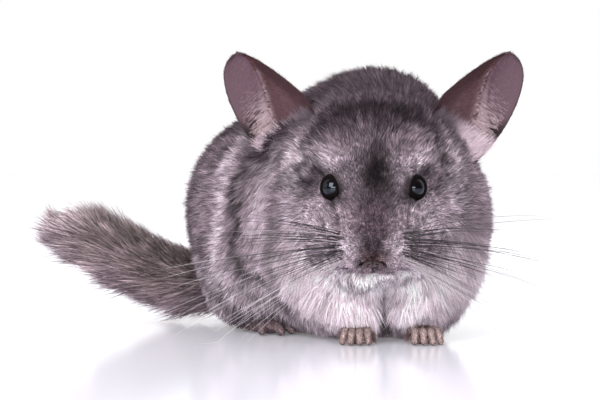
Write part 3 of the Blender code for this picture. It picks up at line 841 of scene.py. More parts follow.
def blades(name, path, side, widths, colours, patches, slot):
    """Tufts as joined blades: pairs of corners along each path, and one corner at its tip.

    path holds the tufts' places from root to tip, widths the half width at each but the last,
    and colours one for each.
    """
    rows, count = len(path) - 1, len(patches)
    places = np.empty((count, 2 * rows + 1, 3))
    paints = np.empty_like(places)
    for row in range(rows):
        reach = side * widths[row][:, None]
        places[:, 2 * row], places[:, 2 * row + 1] = path[row] - reach, path[row] + reach
        paints[:, 2 * row] = paints[:, 2 * row + 1] = colours[row]
    places[:, -1], paints[:, -1] = path[-1], colours[-1]
    places[..., 2] = np.maximum(places[..., 2], FLOOR_GAP)
    first = (np.arange(count) * (2 * rows + 1))[:, None]
    faces = [first + np.array((2 * r, 2 * r + 1, 2 * r + 3, 2 * r + 2)) for r in range(rows - 1)]
    faces.append(first + np.array((2 * rows - 2, 2 * rows - 1, 2 * rows)))
    wide, up = PATCH / 2, np.linspace(-0.5, 0.5, rows + 1) * PATCH
    shapes = [
        ((-wide, up[r]), (wide, up[r]), (wide, up[r + 1]), (-wide, up[r + 1]))
        for r in range(rows - 1)
    ]
    shapes.append(((-wide, up[-2]), (wide, up[-2]), (0.0, up[-1])))
    maps = [(patches[:, None] + np.array(shape)).reshape(-1, 2) for shape in shapes]
    uv = np.clip(np.concatenate(maps), 0.0, 1.0)
    piece(name, places, faces, coat_fur, slot, paints.reshape(-1, 3), uv)


def coat(name, skin, density, count, look, seed):
    """One piece of the coat.

    A tuft leaves its root steeply and bends down to the lie of the coat, so that its tip
    reaches the coat's depth. Tips in one small cell of space are drawn together, and each
    cell has its own shade, length and turn.
    """
    rng = np.random.default_rng(seed)
    carry, patches = roots_on(skin, density, count, rng)
    root, normal = carry(skin["places"]), unit(carry(skin["normals"]))
    way = along_skin(carry(skin["way"]), normal)
    thickness = carry(skin["thickness"])
    lift = carry(skin["lift"])
    longest = carry(skin["longest"])
    shade = carry(skin["colours"])
    cell = look["clump"]
    warped = root + 0.5 * cell * np.stack([waves(root, 3 * cell, s) for s in (21, 22, 23)], 1)
    keys = np.floor(warped / cell).astype(np.int64)
    keys = (keys[:, 0] * 7919 + keys[:, 1]) * 6007 + keys[:, 2]
    _, group = np.unique(keys, return_inverse=True)
    groups = group.max() + 1
    group_size = np.bincount(group)
    turn = 0.16 * rng.normal(size=groups)[group] + look["stray"] * rng.normal(size=count)
    side = np.cross(way, normal)
    way = unit(way + side * turn[:, None])
    side = np.cross(way, normal)
    stretch = (1 + 0.10 * rng.normal(size=groups))[group] * rng.uniform(0.78, 1.08, count)
    length = np.minimum(thickness / np.sin(lift), longest) * stretch
    rows = look["rows"]
    angles = np.linspace(BEND_AT_ROOT, BEND_AT_TIP, rows)[:, None]
    angles = angles * (lift * rng.uniform(0.85, 1.15, count))
    steps = [root - normal * ROOT_DEPTH]
    for row in range(rows):
        heading = way * np.cos(angles[row])[:, None] + normal * np.sin(angles[row])[:, None]
        steps.append(steps[-1] + heading * (length / rows)[:, None])
    for row in range(1, rows + 1):
        pull = look["gather"] * (row / rows) ** 1.5 * rng.uniform(0.3, 1.0, count)
        middle = [np.bincount(group, steps[row][:, k]) / group_size for k in range(3)]
        middle = np.stack(middle, axis=1)[group]
        steps[row] = steps[row] + (middle - steps[row]) * pull[:, None]
    roll = 0.35 * rng.normal(size=count)
    side = unit(side + normal * roll[:, None])
    width = look["width"] * rng.uniform(0.7, 1.3, count) / 2
    widths = [width * share for share in np.linspace(0.8, 1.0, rows)]
    spread = look["mottle"] * rng.normal(size=groups)[group]
    tone = np.exp(spread + look["speckle"] * rng.normal(size=count))
    shade = np.clip(shade * np.clip(tone, 0.3, 2.0)[:, None], 0.003, 0.92)
    dark_tip = rng.random(count) < look["ticked"]
    ends = np.where(dark_tip, look["tick"], look["tip"])
    colours = []
    for share in np.linspace(0, 1, rows + 1):
        body = look["root"] + (1.0 - look["root"]) * min(1.0, share / 0.5)
        level = body + (ends - body) * max(0.0, (share - 0.5) / 0.5)
        colours.append(shade * np.broadcast_to(level, (count,))[:, None])
    blades(name, steps, side, widths, colours, patches, look["slot"])


def regions(skin):
    """How much each piece of the coat grows at each corner. Neighbours fade into each other."""
    places, seen = skin["places"], skin["seen"]
    across, along, up = in_body(places)
    wobble = 2.5 * waves(places, 9, 31)
    tail = ramp(skin["tail"], 0.2, 0.8)
    head = ramp(skin["head"], 0.2, 0.8) * (1 - tail)
    trunk = (1 - ramp(skin["head"], 0.2, 0.8)) * (1 - tail)
    back = ramp(np.linalg.norm(seen - NOSE, axis=1) + wobble, 36, 50)
    chest = (1 - ramp(places[:, 1] + wobble, 46, 60)) * (1 - ramp(up + wobble, 54, 68))
    neck = (1 - chest) * (1 - ramp(along + wobble, -42, -28))
    rump = (1 - chest) * (1 - neck) * ramp(along + wobble, 0, 14)
    flank = np.clip(1 - chest - neck - rump, 0, 1)
    left = ramp(across + wobble, -6, 6)
    return {
        "face": head * (1 - back),
        "head": head * back,
        "chest": trunk * chest,
        "neck": trunk * neck,
        "flank_right": trunk * flank * (1 - left),
        "flank_left": trunk * flank * left,
        "rump": trunk * rump,
        "tail": tail,
    }


def hair_of(skin):
    """How far the coat stands off, how long it may be, and where it thins, at each corner."""
    places, seen = skin["places"], skin["seen"]
    reach = np.linalg.norm(seen - NOSE, axis=1)
    head, tail = skin["head"], skin["tail"]
    lift_head = np.radians(30 + 30 * ramp(reach, 12, 50))
    lift_trunk = np.radians(62 - 28 * (1 - ramp(places[:, 1], 26, 60)))
    upper = ramp(skin["normals"][:, 2], -0.4, 0.7)
    at_end = ramp(skin["tail_place"], 0.6, 0.9)
    lift_tail = np.radians(15 + 46 * upper + 6 * at_end)
    lift = lift_trunk + (lift_head - lift_trunk) * head
    skin["lift"] = lift + (lift_tail - lift) * tail
    longest_head = 1.5 + 1.6 * ramp(reach, 8, 34) + 4.6 * ramp(reach, 34, 70)
    below = chin_share(seen) * head
    longest_head = longest_head + 6 * below
    throat = np.exp(-((seen[:, 0] / 20) ** 4)) * (1 - ramp(places[:, 1], 30, 44))
    throat *= ramp(places[:, 2], 14, 22) * (1 - ramp(places[:, 2], 38, 46)) * (1 - 0.7 * head)
    skin["thickness"] = skin["thickness"] + 1.2 * below + 5 * throat
    under = (1 - ramp(places[:, 2], 8, 26)) * (1 - head) * (1 - tail)
    skin["thickness"] = skin["thickness"] + 5.5 * under * ramp(places[:, 1], 20, 36)
    longest = 15 + 8 * throat
    longest = longest + (longest_head - longest) * head
    skin["longest"] = longest + (31 - 9 * at_end - longest) * tail
    gap = leg_gap(places)
    above = np.exp(-(((places[:, 0] - 5.2) / 7) ** 2)) * (1 - ramp(places[:, 1], 34, 46))
    above *= 1 - ramp(places[:, 2], 32, 40)
    skin["longest"] = skin["longest"] * (1 - 0.75 * np.maximum(gap, above))
    bare = 1 - ramp(gap, 0.3, 0.55)
    for side in SIDES.values():
        opening, away = eye_opening(seen, side)
        bare = np.where((opening < 1.0) & (away < EYE_RADIUS + 4), 0.0, bare)
        near = 1 - ramp(away, EYE_RADIUS + 0.5, EYE_RADIUS + 4)
        skin["longest"] = skin["longest"] * (1 - 0.5 * near)
    seam = np.abs(from_mouth(seen)) < 0.4
    seam &= (np.abs(seen[:, 0]) < 13) & (seen[:, 1] < -2)
    bare = np.where(seam, 0.1, bare)
    bare = bare * (1 - ramp(nostrils(seen), 0.25, 0.6))
    pad = np.linalg.norm((seen - NOSE_PAD) / (NOSE_SIZE * NOSE_PAD_SHARE), axis=1) < 0.6
    bare = np.where(pad, 0.0, bare)
    bare = np.where(places[:, 2] < 1.6, 0.0, bare)
    skin["bare"] = bare


def look_of(**changes):
    """How a piece of coat is made: widths in mm, rows along a blade, clumps and shades."""
    look = {
        "width": 0.36,
        "rows": 2,
        "clump": 1.3,
        "gather": 0.12,
        "stray": 0.16,
        "root": 0.30,
        "tip": 1.18,
        "tick": 0.28,
        "ticked": 0.36,
        "speckle": 0.30,
        "mottle": 0.16,
        "slot": "fur",
    }
    look.update(changes)
    return look


# How many tufts grow on a square millimetre of skin, and how they look.
LOOKS = {
    "face": (11.0, look_of(width=0.27, clump=0.8, gather=0.1, ticked=0.5, tick=0.06, root=0.45,
                          mottle=0.32, speckle=0.36)),
    "head": (6.5, look_of(width=0.30, clump=1.0, gather=0.12, ticked=0.44, tick=0.1,
                          mottle=0.30, speckle=0.36)),
    "chest": (5.0, look_of(width=0.32, clump=1.4, gather=0.16, ticked=0.03, root=0.88, tip=1.0,
                           mottle=0.1, speckle=0.16)),
    "neck": (5.4, look_of(width=0.31)),
    "flank_right": (5.4, look_of(width=0.31)),
    "flank_left": (5.4, look_of(width=0.31)),
    "rump": (4.4, look_of(width=0.33)),
    "tail": (9.5, look_of(width=0.36, rows=3, clump=2.6, gather=0.3, root=0.25, tip=2.3, tick=0.6,
                          ticked=0.35, stray=0.16, slot="tail_fur")),
}
MOST_TRIANGLES = 199000


def make_coat(skin):
    """Every piece of coat that grows on the skin."""
    hair_of(skin)
    share = 1.0
    for seed, (name, mask) in enumerate(regions(skin).items()):
        per_area, look = LOOKS[name]
        density = mask * skin["bare"]
        area = (skin["areas"] * density[skin["triangles"]].mean(axis=1)).sum()
        most = MOST_TRIANGLES // (2 * look["rows"] - 1)
        count = int(min(area * per_area, most) * share)
        coat(f"coat_{name}", skin, density, count, look, 100 + seed)


def tube_faces(rows, around):
    """Quads of a tube of rings, first to last, with each ring closed."""
    ring = np.arange(around)
    start = (np.arange(rows - 1) * around)[:, None]
    following = (ring + 1) % around
    quads = np.stack(
        [start + ring, start + following, start + around + following, start + around + ring],
        axis=-1,
    )
    return quads.reshape(-1, 4)


def capped(faces, rows, around):
    """Adds a fan of triangles to a pole after the last ring, and one before the first ring."""
    ring = np.arange(around)
    following = (ring + 1) % around
    last = (rows - 1) * around
    poles = rows * around
    end = np.stack([last + ring, last + following, np.full(around, poles)], axis=1)
    start = np.stack([following, ring, np.full(around, poles + 1)], axis=1)
    return [faces, end, start]


def outward(places, faces):
    """The faces turned round if they enclose a negative volume."""
    volume = 0.0
    for group in faces:
        a = places[group[:, 0]]
        for k in range(1, group.shape[1] - 1):
            b, c = places[group[:, k]], places[group[:, k + 1]]
            volume += (a * np.cross(b, c)).sum()
    return [group[:, ::-1] for group in faces] if volume < 0 else faces


def shell_faces(places, rows, around):
    """The faces of a closed shell: rings, then the last pole and the first, all outward."""
    return outward(places, capped(tube_faces(rows, around), rows, around))


def whole_turn(steps):
    """Even angles all the way round."""
    return np.linspace(0, 2 * math.pi, steps, endpoint=False)


def globe(rows, around, margin):
    """The corners of a globe's rings: the angle from the first pole, and the turn round it."""
    polar = np.linspace(margin, math.pi - margin, rows)
    return np.meshgrid(polar, whole_turn(around), indexing="ij")


def joined(name, bodies, rows, around, colours, material, slot):
    """Many small shells of as many rings as one piece."""
    quads, fans, shift = [], [], 0
    for body in bodies:
        for group in shell_faces(body - body.mean(axis=0), rows, around):
            (quads if group.shape[1] == 4 else fans).append(group + shift)
        shift += len(body)
    faces = [np.concatenate(quads), np.concatenate(fans)]
    piece(name, np.concatenate(bodies), faces, material, slot, colours)


def rod(line, ring, radii):
    """The corners of a tapering rod: a ring at each place of its line, then its two ends."""
    grid = line[:, None] + ring[None] * radii[:, None, None]
    return np.concatenate([grid.reshape(-1, 3), line[-1:], line[:1]])


def ear_axes():
    """The ear's length and its three ways: along, facing and outward."""
    axis = EAR_TIP - EAR_ROOT
    length = np.linalg.norm(axis)
    axis = axis / length
    facing = along_skin(EAR_FACING, axis)
    across = np.cross(axis, facing)
    return length, axis, facing, across * np.sign(across[0])


def ear_fold(a):
    """Where the fold runs inside the ear, in b: 0.47 - 1.4 a a, from low outside to the tip."""
    return 0.47 - 1.4 * a * a


def ear_middle(a, b):
    """The ear's middle sheet at a from root to tip and b from the inner rim to the outer one.

    The outer rim swells like an ellipse and the inner one runs nearly straight to the tip.
    The middle is hollowed by a share of 1 - b squared, and a soft fold runs up the inside.
    """
    length, axis, facing, across = ear_axes()
    outer = EAR_OUTER * np.maximum(0.0, 1.004 - ((a - 0.42) / 0.58) ** 2) ** 0.42
    inner = EAR_INNER * np.clip((1.004 - a) / 0.63, 0.003, 1.0) ** 0.6
    reach = np.where(b > 0, outer * b, inner * b)
    hollow = EAR_HOLLOW * (1 - b * b) * (1.15 - 0.85 * a)
    fold_line = ear_fold(a)
    fold = 1.9 * np.exp(-(((b - fold_line) / 0.13) ** 2)) * ramp(a, 0.1, 0.35)
    fold *= 1 - ramp(a, 0.75, 0.98)
    pocket = 1.1 * np.exp(-(((b + 0.5) / 0.22) ** 2)) * ramp(a, 0.1, 0.4) * (1 - ramp(a, 0.6, 0.9))
    lean = 1.5 * np.sin(math.pi * a)
    back = hollow + lean - fold + pocket
    return (
        EAR_ROOT
        + axis * (a * length)[..., None]
        + across * reach[..., None]
        - facing * back[..., None]
    )


def ear_colour(a, b, inside):
    """The ear's skin: a brown pocket, a lilac outer sheet, dark lower rim, pink at the root."""
    dark = (1 - ramp(a, 0.36, 0.56)) * ramp(b - ear_fold(a), 0.02, 0.2)
    lilac = mixed(EAR_LILAC, EAR_DARK, dark)
    colour = mixed(EAR_BROWN, lilac, ramp(b - ear_fold(a), -0.06, 0.06))
    shine = spot(a, b, (0.45, -0.35), (0.3, 0.35))
    colour = mixed(colour, EAR_LILAC * 1.2, 0.5 * shine * (b < ear_fold(a)))
    edge = np.exp(-(((b - ear_fold(a)) / 0.07) ** 2)) * ramp(a, 0.1, 0.2)
    colour = mixed(colour, EAR_PINK, 0.55 * edge)
    colour = mixed(colour, COAT_GREY, 0.8 * (1 - ramp(a, 0.02, 0.08)))
    rim = ramp(np.abs(b), 0.94, 1.0)
    colour = mixed(colour, EAR_DARK, 0.6 * rim)
    behind = mixed(COAT_SMOKE, EAR_BROWN, np.full_like(a, 0.4))
    return mixed(behind, colour, inside)


def make_ear(name, side):
    """One ear: a closed shell whose rings run over the front and back of the sheet."""
    rows, half = 64, 40
    turn = np.linspace(-1, 1, half)
    b = np.concatenate([np.sin(turn * math.pi / 2), np.sin(turn[::-1] * math.pi / 2)])
    front = np.concatenate([np.ones(half), -np.ones(half)])
    a = np.linspace(0.0, 1.0, rows) ** 0.9
    grid_a, grid_b = np.meshgrid(a, b, indexing="ij")
    middle = ear_middle(grid_a, grid_b)
    step = 1e-3
    before, after = np.clip(grid_b - step, -1, 1), np.clip(grid_b + step, -1, 1)
    du = ear_middle(np.minimum(grid_a + step, 1), grid_b) - ear_middle(grid_a - step, grid_b)
    dv = ear_middle(grid_a, after) - ear_middle(grid_a, before)
    normal = unit(np.cross(du, dv))
    normal = normal * np.sign(normal @ ear_axes()[2])[..., None]
    wall = EAR_WALL * (1 - 0.45 * grid_a) / 2
    wall = wall * np.sqrt(np.maximum(0.0, 1 - grid_b**8)) + 0.08
    places = middle + normal * (front * wall)[..., None]
    places = places.reshape(-1, 3)
    poles = np.stack([places[-2 * half :].mean(axis=0), places[: 2 * half].mean(axis=0)])
    places = np.concatenate([places, poles])
    colour = ear_colour(grid_a, grid_b, np.broadcast_to((front + 1) / 2, grid_a.shape))
    colour = np.concatenate([colour.reshape(-1, 3), [EAR_LILAC, EAR_PINK]])
    places = from_head(places * (side, 1, 1))
    faces = shell_faces(places, rows, 2 * half)
    obj = piece(f"ear_shell_{name}", places, faces, ear_leather, "ear_skin", colour)
    unwrap(obj)
    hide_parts(f"ear_{name}")


# Hair of an ear: how many, steps along a and b, length in mm, lift, and 1 for the front side.
EAR_HAIR = {
    "inside": (1900, -0.12, 1.0, 10.5, 0.24, 1),
    "pocket": (3200, 0.9, 0.35, 1.6, 0.25, 1),
    "behind": (3600, 1.0, 0.0, 2.4, 0.28, -1),
    "root": (3400, 0.8, 0.25, 8.0, 0.6, 1),
}


def ear_hair(name, side, part, seed):
    """Hair of an ear: fine rows across the inside, a short nap behind, a tuft at the root.

    Roots are random in a and b. The tips lie along the sheet, by small steps in a and b.
    """
    count, step_a, step_b, length, lift, front = EAR_HAIR[part]
    rng = np.random.default_rng(seed)
    a, b = rng.random(count), rng.uniform(-1, 1, count)
    if part == "inside":
        a = 0.05 + 0.93 * a**0.8
        inward = rng.random(count) ** 3.0
        b = ear_fold(a) + (0.93 - ear_fold(a)) * inward * 0.92
        shade = mixed(EAR_PINK * 0.72, EAR_LILAC * 1.5, ramp(a, 0.35, 0.75))
        length = length * (1.15 - 0.85 * ramp(a, 0.1, 0.75)) * (1 - 0.75 * inward)
    elif part == "pocket":
        a = 0.10 + 0.85 * a
        b = -0.97 + (ear_fold(a) + 0.97) * rng.random(count)
        shade = mixed(EAR_BROWN * 1.2, EAR_PINK, 0.6 * (1 - ramp(a, 0.12, 0.3)))
    elif part == "behind":
        shade = COAT_SMOKE
        length = length * (1.2 - 0.6 * a)
    else:
        a = 0.20 * a
        b = rng.uniform(-1, 1, count)
        shade = mixed(COAT_GREY * 0.7, mixed(COAT_SILVER, EAR_PINK, 0.4), ramp(b, -0.3, 0.3))
        length = length * rng.uniform(0.6, 1.1, count)
    tiny = 0.01
    along_a = unit(ear_middle(a + tiny, b) - ear_middle(a - tiny, b))
    along_b = unit(ear_middle(a, np.minimum(b + tiny, 1)) - ear_middle(a, b - tiny))
    normal = unit(np.cross(along_a, along_b))
    normal = normal * np.sign(normal @ ear_axes()[2])[:, None] * front
    stray = rng.normal(size=(count, 2)) * 0.16
    way = unit(along_a * (step_a + stray[:, :1]) + along_b * (step_b + stray[:, 1:]))
    side_way = unit(np.cross(way, normal))
    half = (length * rng.uniform(0.6, 1.15, count) / 2)[:, None]
    root = ear_middle(a, b) + normal * (EAR_WALL / 2 * 0.8)
    first = root + (way + normal * lift) * half
    tip = first + (way - normal * 0.1 * lift) * half
    width = 0.17 * rng.uniform(0.7, 1.3, count) / 2
    mirror = np.array((side, 1, 1))
    path = [from_head(p * mirror) for p in (root, first, tip)]
    side_way = from_head(side_way * mirror + HEAD_PIVOT) - HEAD_PIVOT
    tone = np.clip(1 + 0.2 * rng.normal(size=count), 0.4, 1.6)[:, None]
    colours = [shade * tone * share for share in (0.7, 1.0, 1.15)]
    # The ear's own a and b give each hair its place on the map.
    patches = np.stack([0.05 + 0.9 * a, 0.5 + 0.22 * b], axis=1)
    widths = [width * 0.8, width]
    blades(f"ear_{part}_hair_{name}", path, side_way, widths, colours, patches, "ear_skin")


def around_gaze(side, angle, sideways, upward):
    """Unit ways at an angle from an eye's gaze: out cos(angle) + (across s + up u) sin(angle)."""
    _, out, across, up = eye_frame(side)
    turned = across * sideways[..., None] + up * upward[..., None]
    return out * np.cos(angle)[..., None] + turned * np.sin(angle)[..., None]


def make_eye(name, side):
    """An eyeball with its cornea: a globe that swells a little where it looks out."""
    centre, out, _, _ = eye_frame(side)
    rows, around, swell = 40, 56, 0.28
    grid_p, grid_t = globe(rows, around, 0.02)
    radius = EYE_RADIUS + swell * np.exp(-((grid_p / 0.55) ** 2))
    ways = around_gaze(side, grid_p, np.cos(grid_t), np.sin(grid_t))
    places = (centre + ways * radius[..., None]).reshape(-1, 3)
    poles = np.stack([centre - out * EYE_RADIUS, centre + out * (EYE_RADIUS + swell)])
    places = from_head(np.concatenate([places, poles]))
    iris = ramp(grid_p.ravel(), 0.25, 0.5) * (1 - ramp(grid_p.ravel(), 0.75, 0.9))
    pupil = linear("#060506")
    colour = mixed(pupil, linear("#120c0c"), iris)
    colour = np.concatenate([colour, [linear("#100c0d"), pupil]])
    faces = shell_faces(places, rows, around)
    obj = piece(f"eyeball_{name}", places, faces, eye_gloss, "eye", colour)
    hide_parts(f"eye_{name}")


def make_lids(name, side):
    """The dark lids: a closed roll round the eye, from the inner lens out under the fur.

    It is narrow at the sides and broad above and below, and lies on the eyeball.
    """
    steps, around = 72, 16
    t, turn = whole_turn(steps)[:, None], whole_turn(around)[None]
    share = 0.5 + 0.55 * np.cos(turn)
    wide = GAZE_HALF_WIDTH + (LID_HALF_WIDTH - GAZE_HALF_WIDTH) * share
    inner = GAZE_HALF_HEIGHT * (1 - 0.3 * np.maximum(0.0, -np.sin(t)))
    high = inner + (LID_HALF_HEIGHT - inner) * share
    wide = wide * np.cos(t) * (1 - 0.15 * np.maximum(0.0, np.sin(t)))
    high = high * np.sin(t)
    angle = np.sqrt(wide**2 + high**2) + 1e-6
    ways = around_gaze(side, angle, wide / angle, high / angle)
    height = EYE_RADIUS + 0.25 + 0.62 * np.sin(turn) + 0.12 * np.cos(turn)
    height = np.broadcast_to(height, wide.shape)
    places = from_head((eye_frame(side)[0] + ways * height[..., None]).reshape(-1, 3))
    ring = np.arange(around)
    following = (ring + 1) % around
    last = (steps - 1) * around
    closing = np.stack([last + ring, last + following, following, ring], axis=1)
    faces = outward(places, [np.concatenate([tube_faces(steps, around), closing])])
    colour = np.tile(linear("#0c0708"), (len(places), 1))
    piece(f"eyelids_{name}", places, faces, lid_skin, "nose", colour)


def make_nose():
    """The nose pad: a rounded lozenge with two comma nostrils and a cleft below.

    A globe's corners are pressed in by Gauss hollows at the nostrils and along the cleft.
    """
    rows, around = 56, 72
    grid_p, grid_t = globe(rows, around, 0.03)
    x = np.sin(grid_p) * np.cos(grid_t)
    z = np.sin(grid_p) * np.sin(grid_t)
    y = -np.cos(grid_p)
    slit_turn = 0.55
    sx, sz = np.abs(x) - 0.55, z + 0.22
    along = sx * math.cos(slit_turn) - sz * math.sin(slit_turn)
    over = sx * math.sin(slit_turn) + sz * math.cos(slit_turn)
    nostril = np.exp(-((along / 0.30) ** 2) - (over / 0.13) ** 2) * (y < 0)
    cleft = np.exp(-((x / 0.12) ** 2)) * (1 - ramp(z, 0.5, 0.9)) * (y < 0)
    dent = np.exp(-((x / 0.22) ** 2) - ((z - 0.15) / 0.35) ** 2) * (y < 0)
    press = 1 - 0.34 * nostril - 0.16 * cleft - 0.06 * dent
    sizes = NOSE_SIZE * NOSE_PAD_SHARE
    narrow = 1 - 0.30 * ramp(-z, 0.1, 0.9)
    places = np.stack([x * narrow, y * press, z], axis=-1) * sizes + NOSE_PAD
    middle = [NOSE_PAD + (0, sizes[1], 0), NOSE_PAD - (0, 0.94 * sizes[1], 0)]
    places = from_head(np.concatenate([places.reshape(-1, 3), middle]))
    faces = shell_faces(places, rows, around)
    bare = mixed(NOSE_BROWN * 1.1, NOSE_BROWN * 0.45, ramp(z, -0.3, 0.5))
    # Painted shade in the nostrils, in the cleft and in the small dent between them.
    dark = np.clip(nostril * 1.6 + 0.8 * cleft + 0.4 * dent, 0, 1)
    colour = mixed(bare, linear("#100809"), dark)
    colour = np.concatenate([colour.reshape(-1, 3), [linear("#3b2a2b")] * 2])
    obj = piece("nose_pad", places, faces, nose_leather, "nose", colour)
    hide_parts("nose")


def digits(size, toes):
    """Each toe's knuckle, middle joint, tip, claw tip and radius, fanned over a foot's front."""
    number, length, radius, fan, knuckle = toes
    for share in np.linspace(-1, 1, number):
        ahead = np.array((math.sin(share * fan), -math.cos(share * fan), 0.0))
        along = (0.12 * abs(share) - 0.62) * size[1]
        root = np.array((share * size[0] * 0.66, along, knuckle * radius))
        reach = length * (1 - 0.22 * abs(share))
        middle = root + ahead * reach * 0.5 + np.array((0.0, 0.0, 0.35 * radius))
        tip = root + ahead * reach
        tip[2] = 0.95 * radius
        claw = tip + ahead * (0.9 + radius)
        claw[2] = 0.45
        yield root, middle, tip, claw, radius


def min_distance(places, joints):
    """Distance from the nearest toe's own line, less about nine tenths of its radius."""
    lines = [finger(places, root, bend, 0.9 * r, 0.9 * r) for root, bend, _, _, r in joints]
    lines += [finger(places, bend, tip, 0.9 * r, 0.8 * r) for _, bend, tip, _, r in joints]
    return np.min(lines, axis=0)


# A foot's grid step in mm, bare skin, hair, how much painted shade darkens the hair between the
# toes, shortest hair in mm, and how many hairs.
PAWS = {
    "forepaw": (0.55, PAW_BUFF * 0.5, PAW_BUFF * 0.75, 0.95, 1.9, 4200),
    "hindfoot": (0.8, COAT_SMOKE * 1.5, mixed(COAT_SMOKE, PAW_BUFF, 0.4), 0.0, 3.4, 7000),
}
PAW_LOOK = look_of(width=0.24, clump=1.0, gather=0.5, ticked=0.1, tick=0.4, root=0.5,
                   mottle=0.3, slot="paw_skin")


def make_paw(kind, name, centre, size, turn, toes):
    """One foot: sole and toes melted into one skin, flat on the floor, with claws and hair."""
    step, bare, hair, darkening, shortest, hairs = PAWS[kind]
    joints = list(digits(size, toes))
    spin = np.array(Matrix.Rotation(turn, 3, "Z"))

    def field(places):
        masses = [ellipsoid(places, (0, 0, 0.82 * size[2]), size, (0, 0, 0)) + 0.4]
        for root, middle, tip, _, radius in joints:
            masses.append(finger(places, root, middle, radius, radius * 0.9))
            masses.append(finger(places, middle, tip, radius * 0.95, radius * 0.85))
        return np.maximum(blended(masses, 0.3), 0.02 - places[..., 2])

    def placed(places):
        return places @ spin.T + np.array(centre)

    reach = size[1] + toes[1] + 3
    axes = [
        np.arange(-1.7 * size[0] - 2, 1.7 * size[0] + 2, step),
        np.arange(-reach, size[1] + 2, step),
        np.arange(-1.6, 2 * size[2] + 3, step),
    ]
    places, faces = surface(field, axes)
    places[:, 2] = np.maximum(places[:, 2], 0.0)
    normals = corner_normals(places, faces) @ spin.T
    # Painted shade between the toes: the skin and the hair there are darkened.
    between = ramp(min_distance(places, joints), 0.1, 0.55)
    between = between * (1 - ramp(places[:, 1], -1.0 * size[1], -0.6 * size[1]))
    low = 1 - ramp(places[:, 2], 0.6, 1.6)
    colours = mixed(bare, PAW_DARK, np.clip(0.9 * between + 0.7 * low, 0, 1))
    world = placed(places)
    obj = piece(f"{kind}_skin_{name}", world, [faces], paw_leather, "paw_skin", colours)
    unwrap(obj)
    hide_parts(f"{kind}_{name}")
    make_claws(
        f"{kind}_claws_{name}",
        [(placed(tip + (claw - tip) * 0.35 + (0, 0, 0.15)), placed(claw), 0.55)
         for _, _, tip, claw, _ in joints],
    )
    ahead = np.array((0.0, -1.0, -0.25)) @ spin.T
    skin = halved(obj, world, faces) | {
        "places": world,
        "normals": normals,
        "way": along_skin(np.tile(ahead, (len(world), 1)), normals),
        "thickness": 0.5 + 1.6 * ramp(places[:, 1], -0.6 * size[1], 0.1 * size[1]),
        "lift": np.full(len(world), 0.35),
        "longest": shortest + 4.5 * ramp(places[:, 1], -0.6 * size[1], 0.2 * size[1]),
        "colours": mixed(hair, PAW_DARK * 1.1, darkening * between),
    }
    top = (world[:, 2] > 1.2) & (normals[:, 2] > -0.3)
    coat(f"{kind}_hair_{name}", skin, top.astype(float), hairs, PAW_LOOK, 300 + SIDES[name])


def make_claws(name, claws):
    """Small curved horn cones, joined into one piece: rings that shrink and bend down."""
    rows, around = 7, 8
    t, turn = np.linspace(0, 1, rows), whole_turn(around)
    bodies = []
    for start, end, radius in claws:
        way = unit(end - start)
        side = unit(np.cross(way, (0, 0, 1)))
        up = np.cross(side, way)
        line = start + (end - start) * t[:, None] + up * (0.35 * np.sin(math.pi * t))[:, None]
        ring = side * np.cos(turn)[:, None] + up * np.sin(turn)[:, None]
        body = rod(line, ring, radius * (1 - t * 0.85))
        body[:, 2] = np.maximum(body[:, 2], 0.05)
        bodies.append(body)
    colours = np.tile(linear("#6e5c58"), (sum(map(len, bodies)), 1))
    joined(name, bodies, rows, around, colours, claw_horn, "paw_skin")


# How many whiskers a side has, and how far they may reach from the head's middle, in mm.
WHISKERS, WHISKER_REACH = 50, 86.5


def make_whiskers(skin, name, side):
    """Long tapering whiskers from the muzzle: root + L (s way + s s (back bend - droop up)).

    They are dark where they leave the muzzle and pale toward their tips.
    """
    rng = np.random.default_rng(61 + side)
    around, rows = 4, 14
    turn, s = whole_turn(around), np.linspace(0, 1, rows)
    ring = np.stack([np.zeros(around), np.cos(turn), np.sin(turn)], axis=1)
    seen = skin["seen"][(skin["seen"][:, 1] < 4) & (skin["head"] > 0.5)]
    bodies, colours = [], []
    for share in np.linspace(0, 1, WHISKERS):
        target = np.array((side * (11.5 + 4.5 * rng.random()), -8.0, 51.0 - 13 * share))
        root = seen[np.argmin(np.linalg.norm((seen - target) * (1, 0.3, 1), axis=1))]
        rise = 0.30 - 0.85 * share + 0.08 * rng.normal()
        ahead = -0.28 + 0.38 * rng.random()
        way = unit(np.array((side * 1.0, ahead, rise)))
        length = (34 + 52 * rng.random() ** 0.8) * (1 - 0.3 * abs(share - 0.5))
        droop = 0.06 + 0.14 * rng.random()
        bend = 0.05 + 0.26 * rng.random()
        line = root + length * (s[:, None] * way + (s**2)[:, None] * np.array((0, bend, -droop)))
        line[:, 0] = np.minimum(line[:, 0], WHISKER_REACH)
        line[:, 2] = np.maximum(line[:, 2], 1.0)
        bodies.append(from_head(rod(line, ring, 0.135 * (1 - s) + 0.025)))
        pale = share > 0.8 or rng.random() < 0.1
        base = linear("#b5a8ae" if pale else "#1e1519")
        end = linear("#e6dfe3" if share > 0.45 else "#4a3e44")
        along = mixed(base, end, ramp(np.repeat(s, around), 0.45, 0.9))
        colours.append(np.concatenate([along, [end, base]]))
    colours = np.concatenate(colours)
    joined(f"whiskers_{name}", bodies, rows, around, colours, whisker_horn, "fur")


